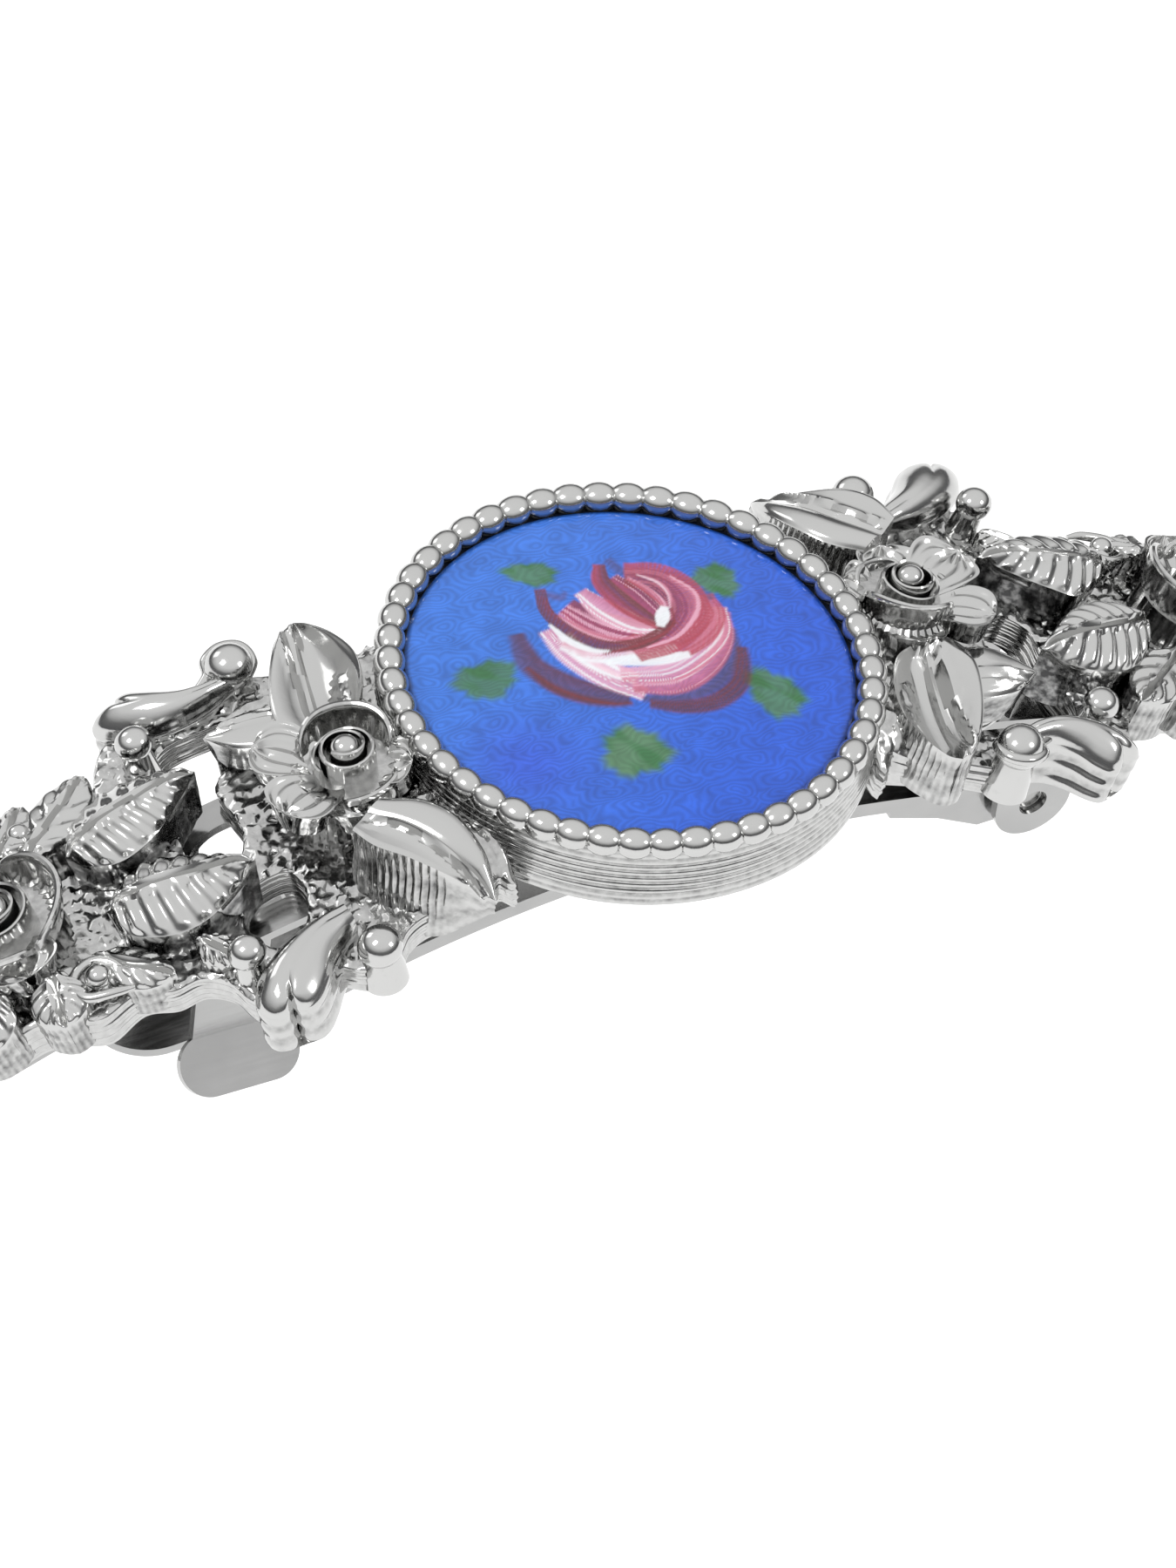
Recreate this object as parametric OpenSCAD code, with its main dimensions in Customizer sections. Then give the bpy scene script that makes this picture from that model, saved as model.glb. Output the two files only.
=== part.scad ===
// French barrette: a cast floral ornament with an enamelled medallion, on a spring hair clip.
// X runs along the barrette with the hinge at +X, Y runs front to back and Z is up.
// The origin is under the middle of the medallion, on the surface that the clip stands on.

/* [Medallion] */
// Outer diameter of the bezel wall
bezel_d = 25.5; // [25:0.1:26.5]
// Diameter of the enamelled disc
enamel_d = 22.6; // [22:0.1:23]
// Height of the enamel's middle above the standing surface
enamel_z = 16; // [16:0.1:17]
// Diameter of one bead on the rim
bead_d = 1.36; // [1.2:0.02:1.5]
// Number of beads round the rim
bead_count = 52; // [40:1:54]

/* [Floral arms] */
// Tip to tip length of the casting
casting_l = 85; // [82:0.5:85]
// Radius of the arch that the casting and the clip share
arch_r = 84; // [84:0.5:90]
// Thickness of the leafy ground of the arms
ground_t = 2.1; // [1.8:0.1:2.6]

/* [Spring clip] */
// Width of the clip's base
base_w = 9; // [8.6:0.1:9.4]
// Length of the clip's base
base_l = 69; // [66:0.5:71]
// Thickness of the spring steel sheet
sheet_t = 0.5; // [0.4:0.05:0.6]
// Width of the clasp arm
arm_w = 7.2; // [6.8:0.1:7.4]
// Width of the tension bar
bar_w = 5.4; // [5:0.1:6]
// Distance from the middle to the hinge
hinge_x = 22.7; // [22.2:0.1:23.2]
// Diameter of the hinge pin
pin_d = 1.6; // [1.4:0.1:1.8]

/* [Hidden] */
fine = 720;          // segments of the long arcs
smooth = 48;         // segments of small round shapes
gap = 0.05;          // running clearance round the pin and the posts
seat = 0.03;         // film between the casting and the clip

wall_d = enamel_d + 0.8;               // inside of the bezel wall
bead_ring_r = bezel_d / 2 - 0.6;       // radius of the row of beads
bezel_h = 4;                           // enamel to the foot of the bezel
recess_h = 1.9;                        // enamel to the floor of the cup
floor_t = 0.8;                         // floor of the cup, which is hollow below
arch_top = enamel_z - 4.35;            // underside of the casting in the middle
arch_z = arch_top - arch_r;            // height of the arch's axis

hinge_z = enamel_z - 13.8;
catch_x = -23;                         // middle of the catch's wings
base_inner = base_w / 2 - sheet_t;     // inner face of the ears and the catch's stems
post_x = 31;                           // posts that hold the clip
post_d = 1.8;
slot_x = 20.2;
slot_w = 5.8;

wing_l = 6.4;                          // squeeze wings
wing_h = 3.2;
wing_reach = wing_h / 2 + 1.45;        // bend line to the foot of a wing
wing_z = (wing_reach + sheet_t) * sin(45);

arm_r = 62;                            // arch of the clasp arm
arm_x = 3;                             // top of that arch
arm_z = enamel_z - 10.45;
arm_left = -20;
arm_right = 18.6;
flange_h = 0.9;
tail_l = 10.2;                         // thumb tab at the arm's free end
tail_x = -23.4;
tail_z = 1.05;
tail_tilt = -5;

bar_t = 0.4;
bar_r = 34.5;                          // bow of the tension bar
bar_z = enamel_z - 5.3;

// ---- helpers ----

// Rotates its children, which stand on z = 0, along the arch to the place above x
module on_arch(x) {
    a = asin(x / arch_r);
    translate([0, 0, arch_z]) rotate([0, a, 0]) translate([0, 0, arch_r]) children();
}

// A bent strip: part of a tube about an axis along Y, between two X positions
module bent_strip(top_r, axis_x, axis_z, t, w, x_from, x_to) {
    intersection() {
        translate([axis_x, 0, axis_z]) rotate([90, 0, 0]) difference() {
            cylinder(r = top_r, h = w, center = true, $fn = fine);
            cylinder(r = top_r - t, h = w + 1, center = true, $fn = fine);
        }
        translate([x_from, -w, axis_z + top_r * 0.5]) cube([x_to - x_from, 2 * w, top_r]);
    }
}

// A plate with two round ends, lying on z = 0 along X
module round_ended(l, w, t) {
    r = w / 2;
    union() {
        translate([-(l / 2 - r), -r, 0]) cube([l - w, w, t]);
        for (s = [-1, 1]) translate([s * (l / 2 - r), 0, 0]) cylinder(r = r, h = t, $fn = smooth);
    }
}

// ---- ornament ----

// Outline of the right arm: leaf tips beside the bezel, the buds, the veined leaves, the end rose
module arm_outline() {
    half_l = casting_l / 2;
    polygon([
        [8, 8.5], [10.9, 10.4], [14.5, 8.8], [16.6, 9.8], [18.2, 11.1], [20.2, 9.6], [23.2, 11.6],
        [25.1, 8.9], [25.5, 6.6], [28.5, 6.4], [31, 5.6], [38.5, 5], [41.8, 3],
        [half_l, 0],
        [41.8, -3], [38.5, -5], [31, -5.6], [28.5, -6.4], [25.5, -6.6],
        [25.1, -8.9], [23.2, -11.6], [20.2, -9.6], [18.2, -11.1], [16.2, -9.2], [13.6, -11.4],
        [11.6, -8.5], [8, -8.5]
    ]);
}

// See-through gaps between the rose, the bud and the veined leaves of the right arm
module arm_gaps() {
    for (g = [[21.3, -3.9, 1.9], [17.9, -6.4, 1.5], [21, 4.9, 1.7]])
        translate([g[0], g[1], 0]) cylinder(r = g[2], h = enamel_z, $fn = smooth);
}

// A rose: a wide foot, a ring of petals and a hollow bud
module rose(foot_r, petal_r, bud_r, h) {
    cylinder(r1 = foot_r, r2 = foot_r * 0.86, h = h * 0.5, $fn = smooth);
    for (i = [0:4]) rotate([0, 0, 72 * i + 18])
        translate([foot_r * 0.62, 0, h * 0.42]) rotate([0, -14, 0]) cylinder(r = petal_r, h = 0.8, $fn = smooth);
    difference() {
        cylinder(r = bud_r, h = h, $fn = smooth);
        translate([0, 0, h * 0.62]) cylinder(r = bud_r - 0.5, h = h, $fn = smooth);
    }
    translate([0, 0, h * 0.55]) cylinder(r = bud_r * 0.4, h = h * 0.34, $fn = smooth);
}

// A lens-shaped leaf lying along X with its middle rib
module leaf(l, w, t) {
    r = (l * l / 4 + w * w / 4) / w;
    intersection() {
        translate([0, r - w / 2, 0]) cylinder(r = r, h = t, $fn = smooth * 2);
        translate([0, w / 2 - r, 0]) cylinder(r = r, h = t, $fn = smooth * 2);
    }
    translate([-l * 0.42, -0.22, 0]) cube([l * 0.84, 0.44, t + 0.25]);
}

// One arm of the casting, from the bezel to the tip at +X
module floral_arm() {
    difference() {
        intersection() {
            linear_extrude(enamel_z + 1) arm_outline();
            translate([0, 0, arch_z]) rotate([90, 0, 0]) difference() {
                cylinder(r = arch_r + ground_t, h = 30, center = true, $fn = fine);
                cylinder(r = arch_r + seat, h = 31, center = true, $fn = fine);
            }
        }
        translate([0, 0, 0.5]) arm_gaps();
        cylinder(r = wall_d / 2 + 0.4, h = enamel_z + 2, $fn = smooth * 4);
    }
    on_arch(16.2) translate([0, 0.8, 1]) rose(3.7, 1.9, 2.1, 4.8);
    on_arch(33.2) translate([0, 0, 1]) rose(4.3, 2.1, 2.3, 5.4);
    for (s = [-1, 1]) {
        on_arch(26.2) translate([0, s * 3.3, 1]) rotate([0, 0, s * 10]) leaf(9, 5.6, 2.6);
        on_arch(21) translate([0, s * 9.4, 1]) rotate([0, 0, s * 8]) round_ended(7.4, 2.6, 1.5);
        on_arch(17.8) translate([0, s * 9.67, 2.6]) sphere(r = 1.15, $fn = smooth);
        on_arch(24.2) translate([0, s * 7.43, 2.9]) sphere(r = 0.9, $fn = smooth);
    }
    on_arch(15) translate([0, 8.4, 1]) rotate([0, 0, 24]) leaf(10.4, 5, 2.2);
    on_arch(14.3) translate([0, -7.6, 1]) rotate([0, 0, 96]) leaf(9.4, 5, 2.4);
}

// Turned profile of the bezel: a cup with a round rim, as radius and height above the enamel
module bezel_cup() {
    translate([0, 0, enamel_z]) {
        rotate_extrude($fn = smooth * 4) polygon([
            [2.6, -recess_h - floor_t], [wall_d / 2 - 0.6, -recess_h - floor_t], [wall_d / 2 - 0.6, -bezel_h],
            [bezel_d / 2 - 0.15, -bezel_h], [bezel_d / 2, -bezel_h + 0.3],
            [bezel_d / 2, -0.15], [wall_d / 2, -0.15], [wall_d / 2, -recess_h], [2.6, -recess_h]
        ]);
        for (i = [0:bead_count - 1]) rotate([0, 0, i * 360 / bead_count])
            translate([bead_ring_r, 0, 0.02]) sphere(r = bead_d / 2, $fn = 24);
    }
}

// Posts under the arms that pass through the clip and are spread over below it
module clip_post(x) {
    on_arch(x) {
        translate([0, 0, -sheet_t - 0.1]) cylinder(d = post_d, h = 0.8 + sheet_t, $fn = smooth);
        translate([0, 0, -sheet_t - 0.45]) cylinder(d = post_d + 1.2, h = 0.45 - seat, $fn = smooth);
    }
}

module ornament_casting() {
    color("gainsboro") union() {
        bezel_cup();
        for (turn = [0, 180]) rotate([0, 0, turn]) floral_arm();
        for (s = [-1, 1]) clip_post(s * post_x);
    }
}

// ---- enamelled disc ----

module guilloche_disc() {
    color("silver") translate([0, 0, enamel_z - 1.7]) cylinder(d = enamel_d, h = 0.8, $fn = smooth * 4);
}

// Slightly domed layer of fired glass, a spherical cap on a thin drum
module enamel_glass() {
    dome_h = 0.35;
    dome_r = (enamel_d * enamel_d / 4 + dome_h * dome_h) / (2 * dome_h);
    color("royalblue") translate([0, 0, enamel_z - 0.9]) rotate_extrude($fn = smooth * 4) polygon([
        [0, 0],
        [enamel_d / 2, 0],
        for (i = [10:-1:1]) let (r = enamel_d / 2 * i / 10) [r, 0.9 - dome_r + sqrt(dome_r * dome_r - r * r)],
        [0, 0.9]
    ]);
}

// Dark cement that beds the disc and fills the groove round it
module setting_cement() {
    color("black") translate([0, 0, enamel_z]) rotate_extrude($fn = smooth * 4) polygon([
        [3, -recess_h], [wall_d / 2, -recess_h], [wall_d / 2, -0.62],
        [enamel_d / 2, -0.62], [enamel_d / 2, -1.7], [3, -1.7]
    ]);
}

// ---- spring clip ----

// A plate that hangs from one edge of the base, between two X positions, down to a height
module hanging_plate(side, x_from, x_to, z_foot) {
    intersection() {
        translate([x_from, side > 0 ? base_inner : -base_w / 2, z_foot])
            cube([x_to - x_from, sheet_t, arch_top - z_foot]);
        translate([0, 0, arch_z]) rotate([90, 0, 0])
            cylinder(r = arch_r, h = 2 * base_w, center = true, $fn = fine);
    }
}

// A squeeze wing: a stem down from the edge of the base, then a rounded tab flared outwards
module squeeze_wing(side) {
    union() {
        hanging_plate(side, catch_x - 1.9, catch_x + 1.9, wing_z - 0.1);
        translate([catch_x, side * base_w / 2, wing_z]) rotate([side * 45, 0, 0])
            translate([0.3, 0, wing_h / 2 - wing_reach]) rotate([90, 0, 0])
                translate([0, 0, side > 0 ? 0 : -sheet_t]) round_ended(wing_l, wing_h, sheet_t);
    }
}

// A hinge ear with the hole for the pin
module hinge_ear(side) {
    ear_r = hinge_z;
    y0 = side > 0 ? base_inner : -base_w / 2;
    difference() {
        union() {
            translate([hinge_x, y0 + sheet_t, hinge_z]) rotate([90, 0, 0])
                cylinder(r = ear_r, h = sheet_t, $fn = smooth);
            hanging_plate(side, hinge_x - ear_r, hinge_x + ear_r, hinge_z);
        }
        translate([hinge_x, y0 + 1, hinge_z]) rotate([90, 0, 0]) cylinder(d = pin_d, h = 2, $fn = smooth);
    }
}

module clip_base() {
    color("lightsteelblue") union() {
        difference() {
            bent_strip(arch_r, 0, arch_z, sheet_t, base_w, -base_l / 2, base_l / 2);
            for (s = [-1, 1]) {
                on_arch(s * slot_x) translate([0, 0, -2]) round_ended(6.6, slot_w, 4);
                on_arch(s * post_x) translate([0, 0, -2]) cylinder(d = post_d + 2 * gap, h = 4, $fn = smooth);
            }
        }
        for (s = [-1, 1]) {
            squeeze_wing(s);
            hinge_ear(s);
        }
    }
}

// Outline of the arm's side cheek: from the web down round the pin, with a rounded toe
module cheek(side) {
    y0 = side > 0 ? arm_w / 2 - sheet_t : -arm_w / 2;
    difference() {
        union() {
            translate([hinge_x, y0 + sheet_t, hinge_z]) rotate([90, 0, 0])
                cylinder(r = 1.5, h = sheet_t, $fn = smooth);
            translate([0, y0 + sheet_t, 0]) rotate([90, 0, 0]) linear_extrude(sheet_t) polygon([
                [arm_right - 4, arm_z - 1.2], [arm_right, arm_z - 1.9], [hinge_x, hinge_z + 1.5],
                [hinge_x, hinge_z - 1.5], [hinge_x - 2.6, hinge_z - 1.6], [arm_right - 1, hinge_z - 0.2],
                [arm_right - 4, hinge_z + 0.9]
            ]);
        }
        translate([hinge_x, y0 + 1, hinge_z]) rotate([90, 0, 0])
            cylinder(d = pin_d + 2 * gap, h = 2, $fn = smooth);
    }
}

module clasp_arm() {
    color("silver") union() {
        bent_strip(arm_r, arm_x, arm_z - arm_r, sheet_t, arm_w, arm_left, arm_right);
        for (s = [-1, 1]) {
            cheek(s);
            translate([0, s * (arm_w - sheet_t) / 2, 0])
                bent_strip(arm_r, arm_x, arm_z - arm_r, flange_h, sheet_t, arm_left + 2, arm_right - 2);
        }
        translate([tail_x, 0, tail_z]) rotate([0, tail_tilt, 0]) {
            translate([0, 0, -sheet_t]) round_ended(tail_l, arm_w - 0.8, sheet_t);
            translate([-0.4, -arm_w / 2 - 0.15, -sheet_t]) cube([1.6, arm_w + 0.3, sheet_t]);
        }
    }
}

// Bowed leaf spring with its end curled round the hinge pin
module tension_bar() {
    eye_r = pin_d / 2 + gap;
    color("lightgray") difference() {
        union() {
            bent_strip(bar_r, 0, bar_z - bar_r, bar_t, bar_w, -18, 22);
            translate([hinge_x, bar_w / 2, hinge_z]) rotate([90, 0, 0])
                cylinder(r = eye_r + bar_t, h = bar_w, $fn = smooth);
        }
        translate([hinge_x, bar_w, hinge_z]) rotate([90, 0, 0])
            cylinder(r = eye_r, h = 2 * bar_w, $fn = smooth);
    }
}

module hinge_pin() {
    color("dimgray") translate([hinge_x, base_w / 2, hinge_z]) rotate([90, 0, 0])
        cylinder(d = pin_d, h = base_w, $fn = smooth);
}

ornament_casting();
guilloche_disc();
enamel_glass();
setting_cement();
clip_base();
clasp_arm();
tension_bar();
hinge_pin();
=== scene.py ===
"""A French barrette: a cast floral ornament with an enamelled rose medallion, on a spring hair clip.

Every length in this file is in millimetres until make_object turns a mesh into metres.  An arm of
the casting is drawn flat, as (along, across, height), and then bent over the arch of the clip.
"""

import logging
import math
from dataclasses import dataclass
from enum import Enum
from typing import Sequence

import bpy
import numpy as np
from mathutils import Matrix, Vector
from mathutils.geometry import delaunay_2d_cdt


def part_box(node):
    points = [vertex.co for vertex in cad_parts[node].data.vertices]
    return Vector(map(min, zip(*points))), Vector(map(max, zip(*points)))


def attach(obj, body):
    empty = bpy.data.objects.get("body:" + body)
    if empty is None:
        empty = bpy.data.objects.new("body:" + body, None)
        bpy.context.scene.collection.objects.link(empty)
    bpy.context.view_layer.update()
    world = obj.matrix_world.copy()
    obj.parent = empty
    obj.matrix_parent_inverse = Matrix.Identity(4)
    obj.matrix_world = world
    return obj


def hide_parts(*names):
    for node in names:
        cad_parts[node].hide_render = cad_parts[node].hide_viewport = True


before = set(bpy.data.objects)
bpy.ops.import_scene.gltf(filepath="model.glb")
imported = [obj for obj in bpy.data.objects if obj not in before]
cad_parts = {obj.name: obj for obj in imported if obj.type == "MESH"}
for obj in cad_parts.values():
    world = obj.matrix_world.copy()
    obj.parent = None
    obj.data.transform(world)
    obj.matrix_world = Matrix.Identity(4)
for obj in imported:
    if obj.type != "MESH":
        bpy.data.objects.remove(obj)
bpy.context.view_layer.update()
LOG = logging.getLogger("barrette")
MM = 0.001
TAU = 2 * math.pi
ROOT_BODY = "ornament"


def cad_box(node: str) -> tuple[np.ndarray, np.ndarray]:
    """Gives a CAD node's lowest and highest corners at rest.

    Args:
        node: the node's name in the frame.

    Returns:
        The two corners, in millimetres.
    """
    low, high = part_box(node)
    return np.array(low) / MM, np.array(high) / MM


def smooth(x: np.ndarray | float, low: float, high: float) -> np.ndarray:
    """Rises smoothly from 0 at low to 1 at high."""
    t = np.clip((np.asarray(x, dtype=float) - low) / (high - low), 0, 1)
    return t * t * (3 - 2 * t)


def bell(x: np.ndarray, width: float) -> np.ndarray:
    """A rounded bump of height 1 about x = 0, with that half width."""
    return np.exp(-((x / width) ** 2))


# ---------------------------------------------------------------- meshes


@dataclass(frozen=True)
class Arch:
    """The arch that the casting and the clip share, about an axis along Y."""

    radius: float = 84.0
    top: float = float(cad_box("clip_base")[1][2])

    def place(self, points: np.ndarray, turned: bool = False) -> np.ndarray:
        """Bends flat points over the arch.

        Args:
            points: the last axis holds the place along, across and above the clip's top face.
            turned: give the points half a turn about Z, for the arm on the catch's side.

        Returns:
            The points in the row frame.
        """
        along, across, height = points[..., 0], points[..., 1], points[..., 2]
        angle = np.arcsin(np.clip(along / self.radius, -1, 1))
        reach = self.radius + height
        x, y = reach * np.sin(angle), across
        z = self.top - self.radius + reach * np.cos(angle)
        side = -1.0 if turned else 1.0
        return np.stack([side * x, side * y, z], axis=-1)


class Skin:
    """Collects closed skins of points into one mesh, with a painted shade value at each point."""

    def __init__(self) -> None:
        """Starts empty."""
        self.points: list[np.ndarray] = []
        self.faces: list[tuple[int, ...]] = []
        self.painted_shade: list[np.ndarray] = []
        self.count = 0

    def add(self, points: np.ndarray, faces: Sequence[tuple[int, ...]],
            painted_shade: float | np.ndarray = 0.0) -> None:
        """Adds one closed skin and turns it outwards.

        Args:
            points: one row per point.
            faces: the loops of point numbers.
            painted_shade: how much painted shade darkens the metal there, from 0 to 1.
        """
        fans = np.array([(f[0], f[j], f[j + 1]) for f in faces for j in range(1, len(f) - 1)])
        a, b, c = points[fans[:, 0]], points[fans[:, 1]], points[fans[:, 2]]
        volume = float(np.sum(a * np.cross(b, c)))
        if volume < 0:
            faces = [tuple(reversed(face)) for face in faces]
        self.faces.extend(tuple(i + self.count for i in face) for face in faces)
        self.points.append(points)
        self.painted_shade.append(np.broadcast_to(np.asarray(painted_shade, dtype=float), len(points)))
        self.count += len(points)

    def loft(self, rings: np.ndarray, looped: bool = False, painted_shade: float | np.ndarray = 0.0) -> None:
        """Joins rings of points, each a closed loop, into one skin.

        Args:
            rings: an array of rings by points by 3.
            looped: the last ring joins the first, instead of a cap at each end.
            painted_shade: the painted shade, one value, or one for each ring and point.
        """
        n, m, _ = rings.shape
        points = rings.reshape(-1, 3)
        shade = np.broadcast_to(np.asarray(painted_shade, dtype=float), (n, m)).reshape(-1)
        faces: list[tuple[int, ...]] = []
        for i in range(n if looped else n - 1):
            a, b = i * m, ((i + 1) % n) * m
            for j in range(m):
                k = (j + 1) % m
                faces.append((a + j, a + k, b + k, b + j))
        if not looped:
            centres = np.stack([rings[0].mean(axis=0), rings[-1].mean(axis=0)])
            points = np.concatenate([points, centres])
            shade = np.concatenate([shade, shade[[0, -1]]])
            last = (n - 1) * m
            for j in range(m):
                k = (j + 1) % m
                faces.append((n * m, k, j))
                faces.append((n * m + 1, last + j, last + k))
        self.add(points, faces, shade)


def make_object(name: str, skin: Skin, crease: float = 38.0) -> bpy.types.Object:
    """Makes a Blender object from collected skins.

    Args:
        name: the piece's name.
        skin: the skins, in millimetres.
        crease: edges sharper than this angle, in degrees, stay sharp.

    Returns:
        The object, with its place in its mesh and a "painted_shade" attribute of painted shade.
    """
    mesh = bpy.data.meshes.new(name)
    mesh.from_pydata((np.concatenate(skin.points) * MM).tolist(), [], skin.faces)
    mesh.validate()
    mesh.polygons.foreach_set("use_smooth", [True] * len(mesh.polygons))
    mesh.set_sharp_from_angle(angle=math.radians(crease))
    # Painted shade, kept per point for the casting's material to darken with.
    layer = mesh.attributes.new("painted_shade", "FLOAT", "POINT")
    layer.data.foreach_set("value", np.concatenate(skin.painted_shade).astype(np.float32))
    obj = bpy.data.objects.new(name, mesh)
    bpy.context.scene.collection.objects.link(obj)
    return obj


def turned_about(points: np.ndarray, heading: float, origin: Sequence[float]) -> np.ndarray:
    """Turns flat points about the vertical and moves them.

    Args:
        points: the last axis is (along, across, height).
        heading: the angle in degrees that the first axis is turned by.
        origin: where the points' own origin goes.

    Returns:
        The moved points.
    """
    c, s = math.cos(math.radians(heading)), math.sin(math.radians(heading))
    out = points.copy()
    out[..., 0] = c * points[..., 0] - s * points[..., 1] + origin[0]
    out[..., 1] = s * points[..., 0] + c * points[..., 1] + origin[1]
    out[..., 2] = points[..., 2] + origin[2]
    return out


# ---------------------------------------------------------------- finishes


def srgb(code: str, alpha: float = 1.0) -> tuple[float, float, float, float]:
    """Turns an sRGB hex colour into linear values.

    Args:
        code: six hex digits.
        alpha: the fourth value.

    Returns:
        Linear red, green and blue, and alpha.
    """
    values = [int(code[i:i + 2], 16) / 255 for i in (0, 2, 4)]
    linear = [v / 12.92 if v <= 0.04045 else ((v + 0.055) / 1.055) ** 2.4 for v in values]
    return (linear[0], linear[1], linear[2], alpha)


def add_node(material: bpy.types.Material, kind: str, links: dict | None = None,
             **settings) -> bpy.types.Node:
    """Adds a node to a material with its settings, values and links.

    Args:
        material: the material.
        kind: the node's type name.
        links: for each input's name or number, either a value or an output socket.
        settings: attributes of the node, such as operation.

    Returns:
        The new node.
    """
    node = material.node_tree.nodes.new(kind)
    for key, value in settings.items():
        setattr(node, key, value)
    for key, value in (links or {}).items():
        if isinstance(value, bpy.types.NodeSocket):
            material.node_tree.links.new(value, node.inputs[key])
        else:
            node.inputs[key].default_value = value
    return node


def new_material(name: str) -> bpy.types.Material:
    """Makes an empty node material with its output node."""
    material = bpy.data.materials.new(name)
    material.use_nodes = True
    material.node_tree.nodes.clear()
    add_node(material, "ShaderNodeOutputMaterial")
    return material


def finish_material(material: bpy.types.Material, shader: bpy.types.Node) -> bpy.types.Material:
    """Links a shader to the material's output and gives the material back."""
    output = next(n for n in material.node_tree.nodes if n.type == "OUTPUT_MATERIAL")
    material.node_tree.links.new(shader.outputs[0], output.inputs["Surface"])
    return material


@dataclass(frozen=True)
class RhodiumPlate:
    """Bright rhodium plate on cast white metal: mirror-like where polished, painted shade in recesses."""

    name: str = "rhodium_plated_casting"
    bright: str = "C2C2C1"
    # The dark colour is painted shade, mixed in where a point's shade value is high.
    dark: str = "161618"
    roughness: float = 0.13
    grain_mm: float = 0.45

    def build(self) -> bpy.types.Material:
        """Builds the node material."""
        m = new_material(self.name)
        place = add_node(m, "ShaderNodeTexCoord")
        # Painted shade: each point's shade value, broken into specks by the grain, mixes the dark colour
        # in.
        painted_shade = add_node(m, "ShaderNodeAttribute", attribute_name="painted_shade")
        cloud = add_node(m, "ShaderNodeTexNoise",
                         {"Vector": place.outputs["Object"], "Scale": 1 / (2.6 * MM), "Detail": 4.0})
        grain = add_node(m, "ShaderNodeTexNoise",
                         {"Vector": place.outputs["Object"], "Scale": 1 / (self.grain_mm * MM),
                          "Detail": 3.0})
        speckled_shade = add_node(m, "ShaderNodeMath", {0: grain.outputs["Fac"], 1: painted_shade.outputs["Fac"]},
                         operation="MULTIPLY")
        amount = add_node(m, "ShaderNodeMapRange",
                          {"Value": speckled_shade.outputs[0], "From Min": 0.12, "From Max": 0.62, "To Min": 0.0,
                           "To Max": 0.9})
        tint = add_node(m, "ShaderNodeMix", {0: amount.outputs[0], 6: srgb(self.bright),
                                             7: srgb(self.dark)}, data_type="RGBA")
        rough = add_node(m, "ShaderNodeMapRange",
                         {"Value": cloud.outputs["Fac"], "From Min": 0.3, "From Max": 0.7,
                          "To Min": self.roughness - 0.04, "To Max": self.roughness + 0.06})
        ripple = add_node(m, "ShaderNodeBump",
                          {"Height": grain.outputs["Fac"], "Strength": 0.18, "Distance": 0.03 * MM})
        shader = add_node(m, "ShaderNodeBsdfPrincipled",
                          {"Base Color": tint.outputs[2], "Metallic": 1.0, "Roughness": rough.outputs[0],
                           "Normal": ripple.outputs[0]})
        return finish_material(m, shader)


@dataclass(frozen=True)
class SpringSteel:
    """Nickel-plated spring steel sheet, barrel polished: faint drawn lines and a soft mirror."""

    name: str = "nickel_plated_spring_steel"
    light: str = "B6B6B5"
    shade: str = "9A9A9A"
    roughness: float = 0.17
    line_mm: float = 0.25

    def build(self) -> bpy.types.Material:
        """Builds the node material."""
        m = new_material(self.name)
        place = add_node(m, "ShaderNodeTexCoord")
        drawn = add_node(m, "ShaderNodeMapping",
                         {"Vector": place.outputs["Object"], "Scale": (0.06, 1.0, 1.0)})
        lines = add_node(m, "ShaderNodeTexNoise",
                         {"Vector": drawn.outputs[0], "Scale": 1 / (self.line_mm * MM), "Detail": 3.0})
        cloud = add_node(m, "ShaderNodeTexNoise",
                         {"Vector": place.outputs["Object"], "Scale": 1 / (4.0 * MM), "Detail": 3.0})
        tint = add_node(m, "ShaderNodeMix", {0: cloud.outputs["Fac"], 6: srgb(self.light),
                                             7: srgb(self.shade)}, data_type="RGBA")
        rough = add_node(m, "ShaderNodeMapRange",
                         {"Value": lines.outputs["Fac"], "From Min": 0.3, "From Max": 0.7,
                          "To Min": self.roughness - 0.04, "To Max": self.roughness + 0.07})
        bump = add_node(m, "ShaderNodeBump",
                        {"Height": lines.outputs["Fac"], "Strength": 0.12, "Distance": 0.02 * MM})
        shader = add_node(m, "ShaderNodeBsdfPrincipled",
                          {"Base Color": tint.outputs[2], "Metallic": 1.0, "Roughness": rough.outputs[0],
                           "Normal": bump.outputs[0]})
        return finish_material(m, shader)


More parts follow.
